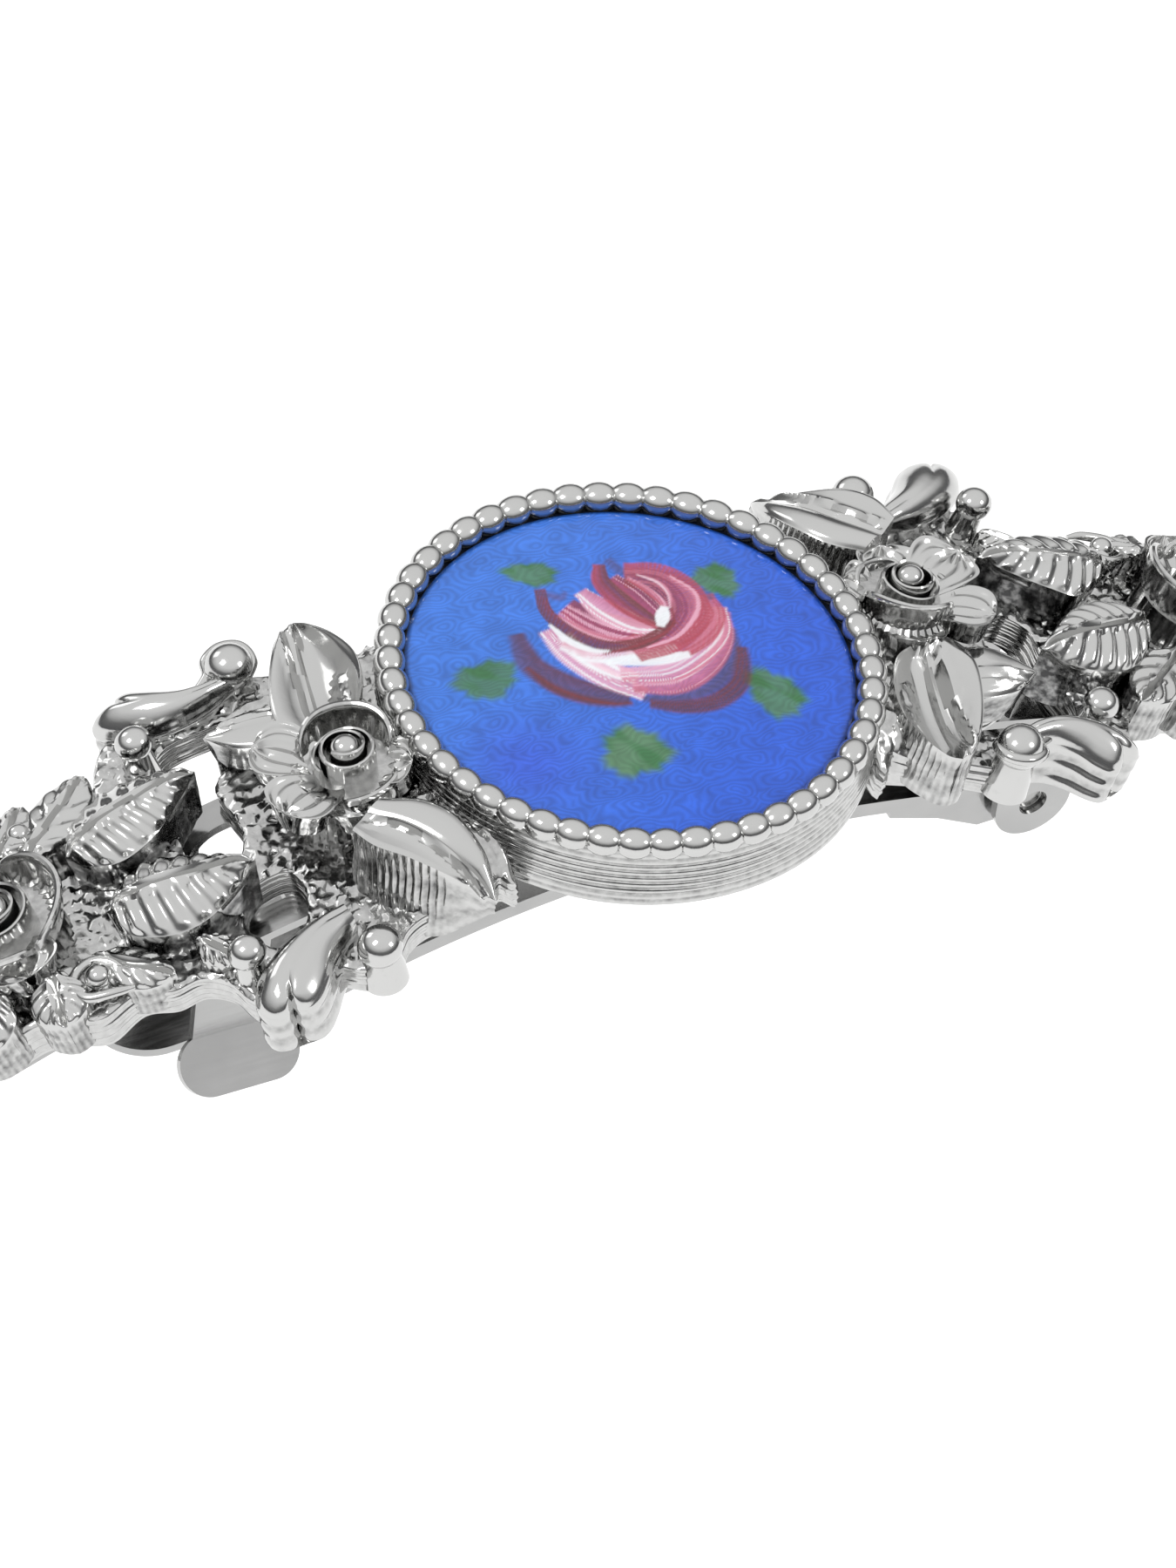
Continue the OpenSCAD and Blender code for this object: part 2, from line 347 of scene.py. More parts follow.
@dataclass(frozen=True)
class GuillocheEnamel:
    """Translucent vitreous enamel, fired glossy over an engine-turned disc whose lines show."""

    name: str = "blue_guilloche_enamel"
    cell_mm: float = 1.7
    line_mm: float = 0.3
    roughness: float = 0.08

    def build(self) -> bpy.types.Material:
        """Builds the node material."""
        m = new_material(self.name)
        place = add_node(m, "ShaderNodeTexCoord")
        paint = add_node(m, "ShaderNodeAttribute", attribute_name="paint")
        bend = add_node(m, "ShaderNodeTexNoise",
                        {"Vector": place.outputs["Object"], "Scale": 1 / (1.6 * MM), "Detail": 1.0})
        shift = add_node(m, "ShaderNodeVectorMath",
                         {0: bend.outputs["Color"], 1: (1.5 * MM, 1.5 * MM, 0.0)}, operation="MULTIPLY")
        moved = add_node(m, "ShaderNodeVectorMath", {0: place.outputs["Object"], 1: shift.outputs[0]},
                         operation="ADD")
        flat = add_node(m, "ShaderNodeMapping", {"Vector": moved.outputs[0], "Scale": (0.62, 1.35, 1.0)})
        cells = add_node(m, "ShaderNodeTexVoronoi",
                         {"Vector": flat.outputs[0], "Scale": 1 / (self.cell_mm * MM)},
                         voronoi_dimensions="2D", feature="F1")
        turns = add_node(m, "ShaderNodeMath",
                         {0: cells.outputs["Distance"], 1: TAU * self.cell_mm / self.line_mm},
                         operation="MULTIPLY")
        wave = add_node(m, "ShaderNodeMath", {0: turns.outputs[0]}, operation="SINE")
        light = add_node(m, "ShaderNodeMapRange",
                         {"Value": wave.outputs[0], "From Min": -1.0, "From Max": 1.0, "To Min": 0.87,
                          "To Max": 1.12})
        depth = add_node(m, "ShaderNodeTexNoise",
                         {"Vector": place.outputs["Object"], "Scale": 1 / (1.1 * MM), "Detail": 3.0})
        pool = add_node(m, "ShaderNodeMapRange",
                        {"Value": depth.outputs["Fac"], "From Min": 0.3, "From Max": 0.7, "To Min": 0.86,
                         "To Max": 1.13})
        both = add_node(m, "ShaderNodeMath", {0: light.outputs[0], 1: pool.outputs[0]},
                        operation="MULTIPLY")
        seen = add_node(m, "ShaderNodeMix", {0: paint.outputs["Alpha"], 2: 1.0, 3: both.outputs[0]},
                        data_type="FLOAT")
        base = add_node(m, "ShaderNodeVectorMath", {0: paint.outputs["Color"], "Scale": seen.outputs[0]},
                        operation="SCALE")
        bump = add_node(m, "ShaderNodeBump",
                        {"Height": bend.outputs["Fac"], "Strength": 0.05, "Distance": 0.05 * MM})
        shader = add_node(m, "ShaderNodeBsdfPrincipled",
                          {"Base Color": base.outputs[0], "Roughness": self.roughness, "IOR": 1.5,
                           "Normal": bump.outputs[0]})
        return finish_material(m, shader)


@dataclass(frozen=True)
class SettingCement:
    """Dark epoxy setting cement, cast in the groove: nearly black with a slight navy gloss."""

    name: str = "dark_setting_cement"

    def build(self) -> bpy.types.Material:
        """Builds the node material."""
        m = new_material(self.name)
        place = add_node(m, "ShaderNodeTexCoord")
        grain = add_node(m, "ShaderNodeTexNoise",
                         {"Vector": place.outputs["Object"], "Scale": 1 / (0.5 * MM), "Detail": 4.0})
        tint = add_node(m, "ShaderNodeMix",
                        {0: grain.outputs["Fac"], 6: srgb("0A0F1E"), 7: srgb("1B2436")}, data_type="RGBA")
        bump = add_node(m, "ShaderNodeBump",
                        {"Height": grain.outputs["Fac"], "Strength": 0.3, "Distance": 0.04 * MM})
        shader = add_node(m, "ShaderNodeBsdfPrincipled",
                          {"Base Color": tint.outputs[2], "Roughness": 0.38, "IOR": 1.5,
                           "Normal": bump.outputs[0]})
        return finish_material(m, shader)


def dress(obj: bpy.types.Object, material: bpy.types.Material) -> None:
    """Gives a piece, or a CAD node's object, one material."""
    obj.data.materials.clear()
    obj.data.materials.append(material)


# ---------------------------------------------------------------- floral arm


def open_curve(points: Sequence[Sequence[float]], t: np.ndarray) -> np.ndarray:
    """Runs a smooth open curve through some points.

    Args:
        points: the points that the curve passes.
        t: where to read the curve, from 0 to 1 along its length.

    Returns:
        One row for each t.
    """
    p = np.array(points, dtype=float)
    p = np.concatenate([2 * p[:1] - p[1:2], p, 2 * p[-1:] - p[-2:-1]])
    u = (np.arange(20) / 20)[:, None]
    parts = [0.5 * (2 * b + (c - a) * u + (2 * a - 5 * b + 4 * c - d) * u ** 2 + (3 * b - a - 3 * c + d)
                    * u ** 3)
             for a, b, c, d in zip(p, p[1:], p[2:], p[3:])]
    dense = np.concatenate(parts + [p[-2:-1]])
    run = np.concatenate([[0], np.cumsum(np.linalg.norm(np.diff(dense, axis=0), axis=1))])
    return np.stack([np.interp(t * run[-1], run, dense[:, k]) for k in range(dense.shape[1])], axis=-1)


class Pattern(Enum):
    """What is cut into the top of a leaf."""

    PLAIN = "plain"
    FEATHER = "feather"
    FAN = "fan"
    CHANNEL = "channel"


@dataclass(frozen=True)
class Leaf:
    """A cast leaf, petal or bud lobe: a modelled top between two edges, and walls down into the ground.

    Each rail is a list of (along, across, height) points from the base to the tip.
    """

    left: Sequence[Sequence[float]]
    middle: Sequence[Sequence[float]]
    right: Sequence[Sequence[float]]
    crown: tuple[float, float] = (0.3, 0.3)
    pattern: Pattern = Pattern.PLAIN
    depth: float = 0.1
    count: float = 8.0
    foot: float = 0.3
    flare: float = 0.1
    tip_flare: float | None = None
    tip_foot: float | None = None
    hatch: float = 0.0
    hatch_end: float = 2.0
    hatch_pitch: float = 0.34
    ripple: float = 0.025
    wall_shade: float = 0.35
    top_shade: float = 0.05
    steps: int = 48
    across: int = 25
    wall_rows: int = 6
    wall_lines: float = 2.5

    def relief(self, t: np.ndarray, m: np.ndarray, width: np.ndarray) -> np.ndarray:
        """Gives the height of the cut pattern.

        Args:
            t: the place along the leaf.
            m: the place across it, from -1 to 1.
            width: the distance from the middle to the edge there.

        Returns:
            The height to add.
        """
        side = np.abs(m)
        away = side * width
        fade = smooth(t, 0.0, 0.08) * smooth(1 - t, 0.0, 0.08)
        if self.pattern is Pattern.FEATHER:
            between = smooth(away, 0.3, 0.55) * smooth(1 - side, 0.0, 0.12)
            veins = np.sin(TAU * (t * self.count - side * 1.1)) * between
            rib = 2.2 * bell(away - 0.27, 0.15) - 1.2 * bell(away, 0.1)
            return self.depth * (veins + rib) * fade
        if self.pattern is Pattern.FAN:
            inner = smooth(t, 0.25, 0.5) * smooth(1 - t, 0.02, 0.16)
            return self.depth * np.cos(math.pi * m * self.count) * inner
        if self.pattern is Pattern.CHANNEL:
            lines = bell(away - 0.2, 0.12) - 1.6 * bell(away - 0.52, 0.17)
            lines += 0.9 * bell(away - 0.85, 0.12)
            return self.depth * lines * smooth(m, -0.2, 0.1) * fade
        return np.zeros_like(t * m)

    def rings(self) -> tuple[np.ndarray, np.ndarray]:
        """Makes the leaf's rings, flat, and their painted shade."""
        t = np.linspace(0, 1, self.steps)
        left, middle, right = (open_curve(rail, t)[:, None]
                               for rail in (self.left, self.middle, self.right))
        m = np.sin(np.linspace(-math.pi / 2, math.pi / 2, self.across))[None, :, None]
        edge = np.where(m < 0, left, right)
        top = middle + (edge - middle) * np.abs(m)
        width = np.linalg.norm((edge - middle)[..., :2], axis=-1)
        side = np.abs(m[..., 0])
        bulge = np.where(m[..., 0] < 0, self.crown[0], self.crown[1]) * 4 * side * (1 - side)
        taper = np.clip(width / 0.8, 0, 1)
        top = top + np.zeros((1, self.across, 1))
        rolled = 0.12 * smooth(side, 0.88, 1.0)
        top[..., 2] += (bulge - rolled) * taper + self.relief(t[:, None], m[..., 0], width)
        along = np.gradient(middle[:, 0, :2], axis=0)
        along /= np.maximum(np.linalg.norm(along, axis=1)[:, None], 1e-6)
        ends = (smooth(t, 0.86, 1.0) - smooth(1 - t, 0.86, 1.0))[:, None]
        levels = np.linspace(0, 1, self.wall_rows + 1)[1:]
        # Painted shade: slight on the top, more on the walls, deepest in the hatch grooves and wall
        # lines.
        walls, shade = [], [np.full((self.steps, self.across), self.top_shade)]
        for sign, order in ((1, levels), (-1, levels[::-1])):
            rim = top[:, -1 if sign > 0 else 0]
            across = np.stack([along[:, 1], -along[:, 0]], axis=-1)
            toward = (right if sign > 0 else left)[:, 0, :2] - middle[:, 0, :2]
            across *= np.sign(np.sum(across * toward, axis=1) + 1e-9)[:, None]
            out = across * (1 - np.abs(ends)) + along * ends
            out /= np.linalg.norm(out, axis=1)[:, None]
            run = np.concatenate([[0], np.cumsum(np.linalg.norm(np.diff(rim[:, :2], axis=0), axis=1))])
            cut = self.hatch * (0.5 + 0.5 * np.cos(TAU * run / self.hatch_pitch))
            cut = cut * (1 - smooth(t, self.hatch_end - 0.12, self.hatch_end + 0.06))
            tip_flare = self.flare if self.tip_flare is None else self.tip_flare
            flare = self.flare + (tip_flare - self.flare) * smooth(t, 0.5, 0.95)
            tip_foot = self.foot if self.tip_foot is None else self.tip_foot
            foot = self.foot + (tip_foot - self.foot) * smooth(t, 0.6, 1.0)
            for r in order:
                wall = rim.copy()
                wall[:, 2] = rim[:, 2] + (foot - rim[:, 2]) * r
                wave = math.sin(r * TAU * self.wall_lines)
                bite = math.sin(math.pi * min(1.0, 0.12 + r))
                shift = flare * r - cut * bite + self.ripple * wave
                wall[:, :2] += out * shift[:, None]
                walls.append(wall[:, None])
                share = cut / self.hatch if self.hatch else np.ones(self.steps)
                dark = self.wall_shade * (0.5 + 0.5 * share) + 0.15 * (1 - wave)
                shade.append(dark[:, None])
        return np.concatenate([top] + walls, axis=1), np.concatenate(shade, axis=1)


@dataclass(frozen=True)
class Petal:
    """A thin wall swept round a rose's axis, grooved inside, its edge rolled outwards."""

    heading: float
    spread: float
    inner_r: float
    reach: float
    foot: float
    rise: float
    thick: float = 0.34
    grooves: int = 0
    groove_depth: float = 0.1
    steps: int = 90

    def rings(self) -> np.ndarray:
        """Makes the petal's rings round the rose's axis, about the rose's own axis."""
        s = np.linspace(-1, 1, self.steps)[:, None]
        edge = np.maximum((1 - np.abs(s) ** 3.2) ** 0.7, 0.05)
        t = np.linspace(0, 1, 11)[None, :]
        cut = self.groove_depth * (0.5 - 0.5 * np.cos(s * math.pi * self.grooves))
        between = np.sin(math.pi * np.clip(t * 1.1, 0, 1))
        fan = self.inner_r + self.reach * edge * t ** 0.9 + cut * between
        lift = self.foot + self.rise * edge * t ** 1.15 + 0 * s
        lip = np.array([[0.04, 0.1], [0.16, 0.17], [0.3, 0.12], [0.36, -0.05]]) * self.thick / 0.34
        lip_r = fan[:, -1:] + lip[None, :, 0] * edge
        lip_h = lift[:, -1:] + lip[None, :, 1] * edge
        back_r = self.inner_r + self.reach * edge * t[:, ::-1] ** 0.9 + self.thick
        back_h = lift[:, ::-1] - 0.15
        r = np.concatenate([fan, lip_r, back_r], axis=1)
        h = np.concatenate([lift, lip_h, back_h], axis=1)
        angle = np.radians(self.heading + s * self.spread)
        return np.stack([r * np.cos(angle), r * np.sin(angle), h], axis=-1)


def ball_rings(radius: float, centre: Sequence[float], steps: int = 20) -> np.ndarray:
    """Makes the rings of a ball."""
    lat = np.linspace(-math.pi / 2 + 0.02, math.pi / 2 - 0.02, steps)
    lon = np.linspace(0, TAU, 28, endpoint=False)
    r, h = radius * np.cos(lat)[:, None], radius * np.sin(lat)[:, None]
    return np.stack([centre[0] + r * np.cos(lon), centre[1] + r * np.sin(lon), centre[2] + h + 0 * lon],
                    axis=-1)


def turned_profile(profile: Sequence[Sequence[float]], centre: Sequence[float], flutes: int = 0,
                   depth: float = 0.0,
                   steps: int = 160) -> np.ndarray:
    """Turns an open profile of (radius, height) about a vertical axis.

    Args:
        profile: the points from foot to top.
        centre: the axis, along and across.
        flutes: grooves cut down the wall.
        depth: how deep they are.
        steps: points round the axis.

    Returns:
        Rings from foot to top.
    """
    lon = np.linspace(0, TAU, steps, endpoint=False)[None, :]
    r = np.array([p[0] for p in profile])[:, None]
    h = np.array([p[1] for p in profile])[:, None]
    r = r - depth * (0.5 - 0.5 * np.cos(flutes * lon)) * np.clip(r, 0, 1)
    return np.stack([centre[0] + r * np.cos(lon), centre[1] + r * np.sin(lon), h + 0 * lon], axis=-1)


def tube(path: Sequence[Sequence[float]], radii: Sequence[float], steps: int = 60,
         sides: int = 16) -> np.ndarray:
    """Runs a round bar of changing radius along a path.

    Args:
        path: points of (along, across, height).
        radii: the radius at the same points.
        steps: rings along the path.
        sides: points round each ring.

    Returns:
        The rings.
    """
    t = np.linspace(0, 1, steps)
    line = open_curve([(*p, r) for p, r in zip(path, radii)], t)
    way = np.gradient(line[:, :3], axis=0)
    way /= np.linalg.norm(way, axis=1)[:, None]
    side = np.cross(way, [0.0, 0.0, 1.0])
    side /= np.maximum(np.linalg.norm(side, axis=1)[:, None], 1e-6)
    up = np.cross(side, way)
    lon = np.linspace(0, TAU, sides, endpoint=False)
    swing = np.cos(lon)[None, :, None] * side[:, None] + np.sin(lon)[None, :, None] * up[:, None]
    return line[:, None, :3] + swing * np.maximum(line[:, None, 3:4], 0.02)


@dataclass
class Rose:
    """A cast rose: a fluted foot, ribbed petals, grooved cup walls and a rolled heart."""

    along: float
    across: float
    height: float
    foot_r: float
    cup_r: float
    cups: Sequence[tuple[float, float, float]]
    petals: Sequence[tuple[float, float, float, float]]
    heart_r: float = 1.15

    def petal(self, heading: float, reach: float, width: float, height: float) -> Leaf:
        """Makes one ribbed petal that leans out of the rose.

        Args:
            heading: the way that it points, in degrees.
            reach: how far its tip is from the rose's axis.
            width: its greatest width.
            height: the height of its tip.

        Returns:
            The petal, flat, round the rose's place.
        """
        c, s = math.cos(math.radians(heading)), math.sin(math.radians(heading))

        def place(r: float, w: float, h: float) -> tuple[float, float, float]:
            """Puts a point of the petal at its distance, side step and height."""
            return (self.along + r * c - w * s, self.across + r * s + w * c, h)

        start, w = 0.9, width / 2
        span = reach - start
        sides = [[place(start, k * w * 0.4, height - 1.0),
                  place(start + 0.45 * span, k * w * 0.92, height - 0.1),
                  place(start + 0.78 * span, k * w * 0.98, height + 0.12),
                  place(start + 0.95 * span, k * w * 0.6, height + 0.1),
                  place(reach, 0, height)] for k in (1, -1)]
        middle = [place(start, 0, height - 1.3), place(start + 0.5 * span, 0, height - 0.45),
                  place(reach, 0, height)]
        return Leaf(sides[0], middle, sides[1], crown=(-0.08, -0.08), pattern=Pattern.FAN, depth=0.11,
                    count=4.0, foot=height - 1.5, flare=-0.5, hatch=0.08, hatch_pitch=0.42,
                    wall_shade=0.6, steps=44, across=33)

    def skins(self) -> list[tuple[np.ndarray, float | np.ndarray]]:
        """Makes every skin of the rose, flat, with its painted shade."""
        top, centre = self.height, (self.along, self.across, 0.0)
        r = self.foot_r
        foot = turned_profile([(r, 0.6), (r, 1.5), (r * 0.97, 2.4), (r * 0.93, top - 2.2),
                               (r * 0.8, top - 1.9), (0.1, top - 1.9)],
                              centre, flutes=40, depth=0.16)
        # Each skin carries its painted shade value with it.
        skins: list[tuple[np.ndarray, float | np.ndarray]] = [(foot, 0.45)]
        for spec in self.petals:
            skins.append(self.petal(*spec).rings())
        for heading, spread, rim in self.cups:
            wall = Petal(heading, spread, self.cup_r - 0.55, 0.5, top - 2.2, rim - top + 2.2,
                         grooves=int(spread / 10))
            skins.append((turned_about(wall.rings(), 0, centre), 0.3))
        skins.append((turned_about(self.heart(), 20, centre), 0.2))
        skins.append((ball_rings(0.5 * self.heart_r, (self.along, self.across, top - 0.6)), 0.1))
        return skins

    def heart(self) -> np.ndarray:
        """Makes the rolled heart: a thin wall wound twice round the axis."""
        top, turn = self.height, 2.0 * TAU
        turns = np.linspace(0, turn, 100)[:, None]
        radius = self.heart_r * (0.42 + 0.58 * turns / turn)
        crest = top - 0.05 - 0.75 * turns / turn + 0.08 * np.sin(turns * 1.5)
        wall = np.array([[0.0, 0.0], [0.0, 0.85], [0.05, 0.97], [0.13, 1.0], [0.21, 0.97], [0.26, 0.85],
                         [0.26, 0.0]])
        low = top - 2.4
        r = radius + wall[None, :, 0]
        h = low + (crest - low) * wall[None, :, 1]
        return np.stack([r * np.cos(turns), r * np.sin(turns), h], axis=-1)


@dataclass
class FloralArm:
    """One arm of the casting, from the bezel to its tip, drawn flat and bent over the arch."""

    name: str
    turned: bool
    arch: Arch
    bezel_r: float
    ground: float = 1.9
    grain: float = 0.23
    seed: int = 7
    tip: float = float(cad_box("ornament_casting")[1][0])

    def outline(self) -> np.ndarray:
        """Gives the ground plate's outline as a smooth closed curve round the listed corners."""
        back = [(9.9, 7.6), (10.7, 8.2), (11.8, 8.7), (13.3, 8.8), (14.7, 8.7), (15.8, 9.1), (16.8, 10.0),
                (18.4, 10.3), (19.8, 9.2), (20.9, 9.8), (22.1, 10.0), (23.1, 9.8), (23.8, 9.0),
                (24.2, 7.6), (25.3, 6.5), (26.7, 6.4), (28.2, 5.7), (30.0, 6.2), (31.2, 5.6), (32.5, 4.8),
                (33.6, 4.7), (34.9, 4.9), (36.3, 4.3), (37.8, 4.2), (39.2, 3.2), (40.6, 2.6), (41.6, 1.4)]
        front = [(41.6, -1.4), (40.8, -2.6), (39.6, -3.1), (38.4, -4.2), (37.0, -4.3), (35.5, -5.2),
                 (34.0, -5.0), (32.4, -5.6), (31.0, -5.3), (29.7, -5.9), (27.9, -6.0), (26.2, -6.4),
                 (25.2, -7.0), (24.6, -8.2), (23.7, -9.2), (22.5, -9.5), (21.0, -9.0), (19.8, -8.4),
                 (18.2, -9.1), (16.6, -9.5), (15.2, -9.0), (14.0, -8.5), (12.6, -8.2), (10.9, -7.7),
                 (9.9, -7.4)]
        return closed_curve(np.array(back + [(self.tip - 0.25, 0.0)] + front), 6)

    def gaps(self) -> list[np.ndarray]:
        """Gives the see-through gaps between the rose, the buds and the veined leaves."""
        under_leaf = [(16.4, -6.6), (17.2, -7.3), (19.0, -7.4), (21.2, -7.4), (22.3, -6.6), (22.8, -5.2),
                      (22.7, -3.4), (22.9, -1.6), (23.1, 0.2), (22.1, 1.3), (20.8, 0.8), (20.1, -0.8),
                      (20.2, -2.4), (20.2, -3.8), (18.6, -4.9), (17.0, -5.3)]
        far = [(19.3, 2.8), (19.0, 4.3), (19.6, 6.0), (20.6, 6.9), (21.6, 6.8), (22.2, 5.6), (22.1, 4.2),
               (21.2, 2.9)]
        return [closed_curve(np.array(g), 4) for g in (under_leaf, far)]

    def level(self, flat: np.ndarray) -> np.ndarray:
        """Gives the ground's smooth height, which climbs towards the bezel and again at the far end."""
        r = np.hypot(flat[:, 0], flat[:, 1])
        near = smooth(15.8 - r, 0.0, 2.6) * smooth(8.6 - np.abs(flat[:, 1]), 0.0, 2.2)
        return self.ground + 1.6 * near + 0.5 * smooth(flat[:, 0], 26, 31)

    def ground_skin(self, skin: Skin) -> None:
        """Adds the ground plate: a granulated top, ridged side walls and a plain back."""
        noise = np.random.default_rng(self.seed)
        loops = [self.outline()] + self.gaps()
        xs = np.arange(9.0, self.tip, self.grain)
        ys = np.arange(-12.0, 12.0, self.grain)
        grid = np.array([(x, y) for x in xs for y in ys])
        grid = grid + noise.uniform(-0.35, 0.35, grid.shape) * self.grain
        holes = inside_loop(grid, loops[1]) | inside_loop(grid, loops[2])
        grid = grid[inside_loop(grid, loops[0]) & ~holes
                    & (np.hypot(grid[:, 0], grid[:, 1]) > self.bezel_r - 0.9)]
        points = [Vector(p) for loop in loops for p in loop] + [Vector(p) for p in grid]
        rims, start = [], 0
        for loop in loops:
            rims.append(list(range(start, start + len(loop))))
            start += len(loop)
        edges = [(rim[j], rim[(j + 1) % len(rim)]) for rim in rims for j in range(len(rim))]
        flat, _, faces, *_ = delaunay_2d_cdt(points, edges, [], 0, 1e-5)
        flat = np.array([tuple(p) for p in flat])
        centres = np.array([flat[list(f)].mean(axis=0) for f in faces])
        keep = inside_loop(centres, loops[0])
        for gap in loops[1:]:
            keep &= ~inside_loop(centres, gap)
        faces = [tuple(f) for f, k in zip(faces, keep) if k]
        count, rim_count = len(flat), start
        top = self.level(flat)
        top[rim_count:] += noise.uniform(-1, 1, count - rim_count) * 0.12
        top[:rim_count] -= 0.12
        upper = np.column_stack([flat, top])
        lower = np.column_stack([flat, np.full(count, 0.03)])
        rows = 16
        points_all = [upper, lower]
        # Painted shade: darker on the granulated top than on its rim, the walls and the plain back.
        shade = [np.full(count, 0.38), np.full(count, 0.2)]
        shade[0][:rim_count] = 0.2
        faces_all = list(faces) + [tuple(i + count for i in reversed(f)) for f in faces]
        offset = 2 * count
        for rim in rims:
            loop = flat[rim]
            normal = loop_normals(loop)
            walls = []
            for k in range(1, rows):
                share = k / rows
                ridge = 0.05 * math.sin(share * TAU * 4) + 0.12 * math.sin(math.pi * share)
                height = upper[rim, 2] * (1 - share) + 0.03 * share
                walls.append(np.column_stack([loop + normal * ridge, height]))
            n = len(rim)
            levels = [list(rim)] + [[offset + k * n + j for j in range(n)] for k in range(rows - 1)]
            levels.append([i + count for i in rim])
            for a, b in zip(levels, levels[1:]):
                faces_all.extend((a[j], b[j], b[(j + 1) % n], a[(j + 1) % n]) for j in range(n))
            points_all.append(np.concatenate(walls))
            shade.append(np.full(n * (rows - 1), 0.3))
            offset += n * (rows - 1)
        placed = self.arch.place(np.concatenate(points_all), self.turned)
        skin.add(placed, faces_all, np.concatenate(shade))

    def put(self, skin: Skin, rings: np.ndarray, painted_shade: float | np.ndarray = 0.1) -> None:
        """Bends one flat skin over the arch and adds it."""
        skin.loft(self.arch.place(rings, self.turned), painted_shade=painted_shade)

    def leaves(self) -> list[Leaf]:
        """Gives the leaves and the buds' lobes, in the places where the casting has them."""
        broad = Leaf(
            left=[(14.2, 3.7, 5.2), (12.7, 4.6, 5.2), (11.7, 6.2, 5.0), (11.3, 8.2, 4.3),
                  (11.5, 9.6, 3.5), (11.75, 10.35, 3.0)],
            middle=[(15.4, 4.3, 5.5), (14.0, 5.7, 5.4), (12.9, 7.5, 4.9), (12.1, 9.1, 3.9),
                    (11.75, 10.35, 3.0)],
            right=[(16.5, 5.2, 5.9), (16.0, 6.7, 6.0), (14.9, 7.9, 5.7), (13.4, 9.1, 4.6),
                   (12.4, 10.0, 3.6), (11.75, 10.35, 3.0)],
            crown=(0.3, -0.05), pattern=Pattern.CHANNEL, depth=0.17, foot=0.4, flare=0.75, tip_flare=-0.1,
            tip_foot=1.9, hatch=0.13,
            hatch_pitch=0.37, hatch_end=0.66, ripple=0.04, wall_shade=0.6, steps=150, across=33,
            wall_rows=12)
        boat = Leaf(
            left=[(14.8, -2.1, 4.2), (13.1, -2.9, 4.2), (11.9, -4.8, 4.3), (11.5, -6.7, 4.1),
                  (11.9, -8.5, 3.9), (12.6, -9.7, 3.7), (13.2, -10.1, 3.6)],
            middle=[(14.8, -2.1, 4.2), (14.5, -3.6, 3.1), (14.0, -6.0, 2.6), (13.5, -8.6, 2.8),
                    (13.2, -10.1, 3.6)],
            right=[(14.8, -2.1, 4.2), (16.2, -2.4, 4.4), (16.6, -4.2, 4.6), (16.0, -6.4, 4.5),
                   (14.9, -8.6, 4.2), (14.0, -9.8, 3.8), (13.2, -10.1, 3.6)],
            crown=(-0.5, 0.35), pattern=Pattern.CHANNEL, depth=0.13, foot=0.4, flare=0.1, hatch=0.1,
            hatch_pitch=0.36,
            wall_shade=0.5, steps=120, across=33, wall_rows=8)
        small = Leaf(
            left=[(16.2, -2.9, 4.1), (17.8, -3.1, 4.2), (19.0, -3.9, 4.1), (19.9, -5.15, 4.0)],
            middle=[(15.8, -4.2, 4.0), (17.6, -4.6, 4.3), (19.9, -5.15, 4.0)],
            right=[(15.6, -5.6, 3.4), (17.0, -6.0, 3.5), (18.6, -5.9, 3.7), (19.9, -5.15, 4.0)],
            crown=(0.1, 0.1), pattern=Pattern.CHANNEL, depth=0.1, foot=1.0, flare=-0.6, ripple=0.0,
            wall_shade=0.7,
            steps=44, across=25)
        veined_a = Leaf(
            left=[(28.0, -2.0, 4.2), (27.2, -0.9, 4.2), (25.8, -0.35, 4.2), (24.0, -0.9, 4.2),
                  (22.3, -2.3, 4.1), (21.0, -3.5, 4.0)],
            middle=[(28.0, -2.0, 4.3), (26.0, -2.7, 4.8), (23.4, -3.1, 4.7), (21.0, -3.5, 4.0)],
            right=[(28.0, -2.0, 4.2), (27.3, -3.7, 3.9), (25.6, -4.9, 3.7), (24.0, -5.0, 3.7),
                   (22.3, -4.5, 3.8), (21.0, -3.5, 4.0)],
            crown=(0.3, 0.3), pattern=Pattern.FEATHER, depth=0.11, count=9.0, foot=0.8, flare=-0.15,
            wall_shade=0.9,
            steps=110, across=41)
        veined_b = Leaf(
            left=[(27.6, 2.2, 4.3), (26.7, 1.1, 4.2), (25.2, 0.3, 4.1), (23.7, 0.9, 4.2),
                  (22.1, 2.0, 4.3), (20.7, 3.25, 4.3)],
            middle=[(27.6, 2.2, 4.4), (25.6, 2.3, 4.9), (23.2, 2.8, 4.8), (20.7, 3.25, 4.3)],
            right=[(27.6, 2.2, 4.3), (27.3, 3.8, 4.2), (25.7, 4.9, 4.0), (24.0, 5.0, 3.9),
                   (22.3, 4.3, 4.0), (20.7, 3.25, 4.3)],
            crown=(0.3, 0.3), pattern=Pattern.FEATHER, depth=0.11, count=9.0, foot=0.8, flare=-0.15,
            wall_shade=0.9,
            steps=110, across=41)
        return [broad, boat, small, veined_a, veined_b] + self.bud_lobes() + self.outer_leaves()

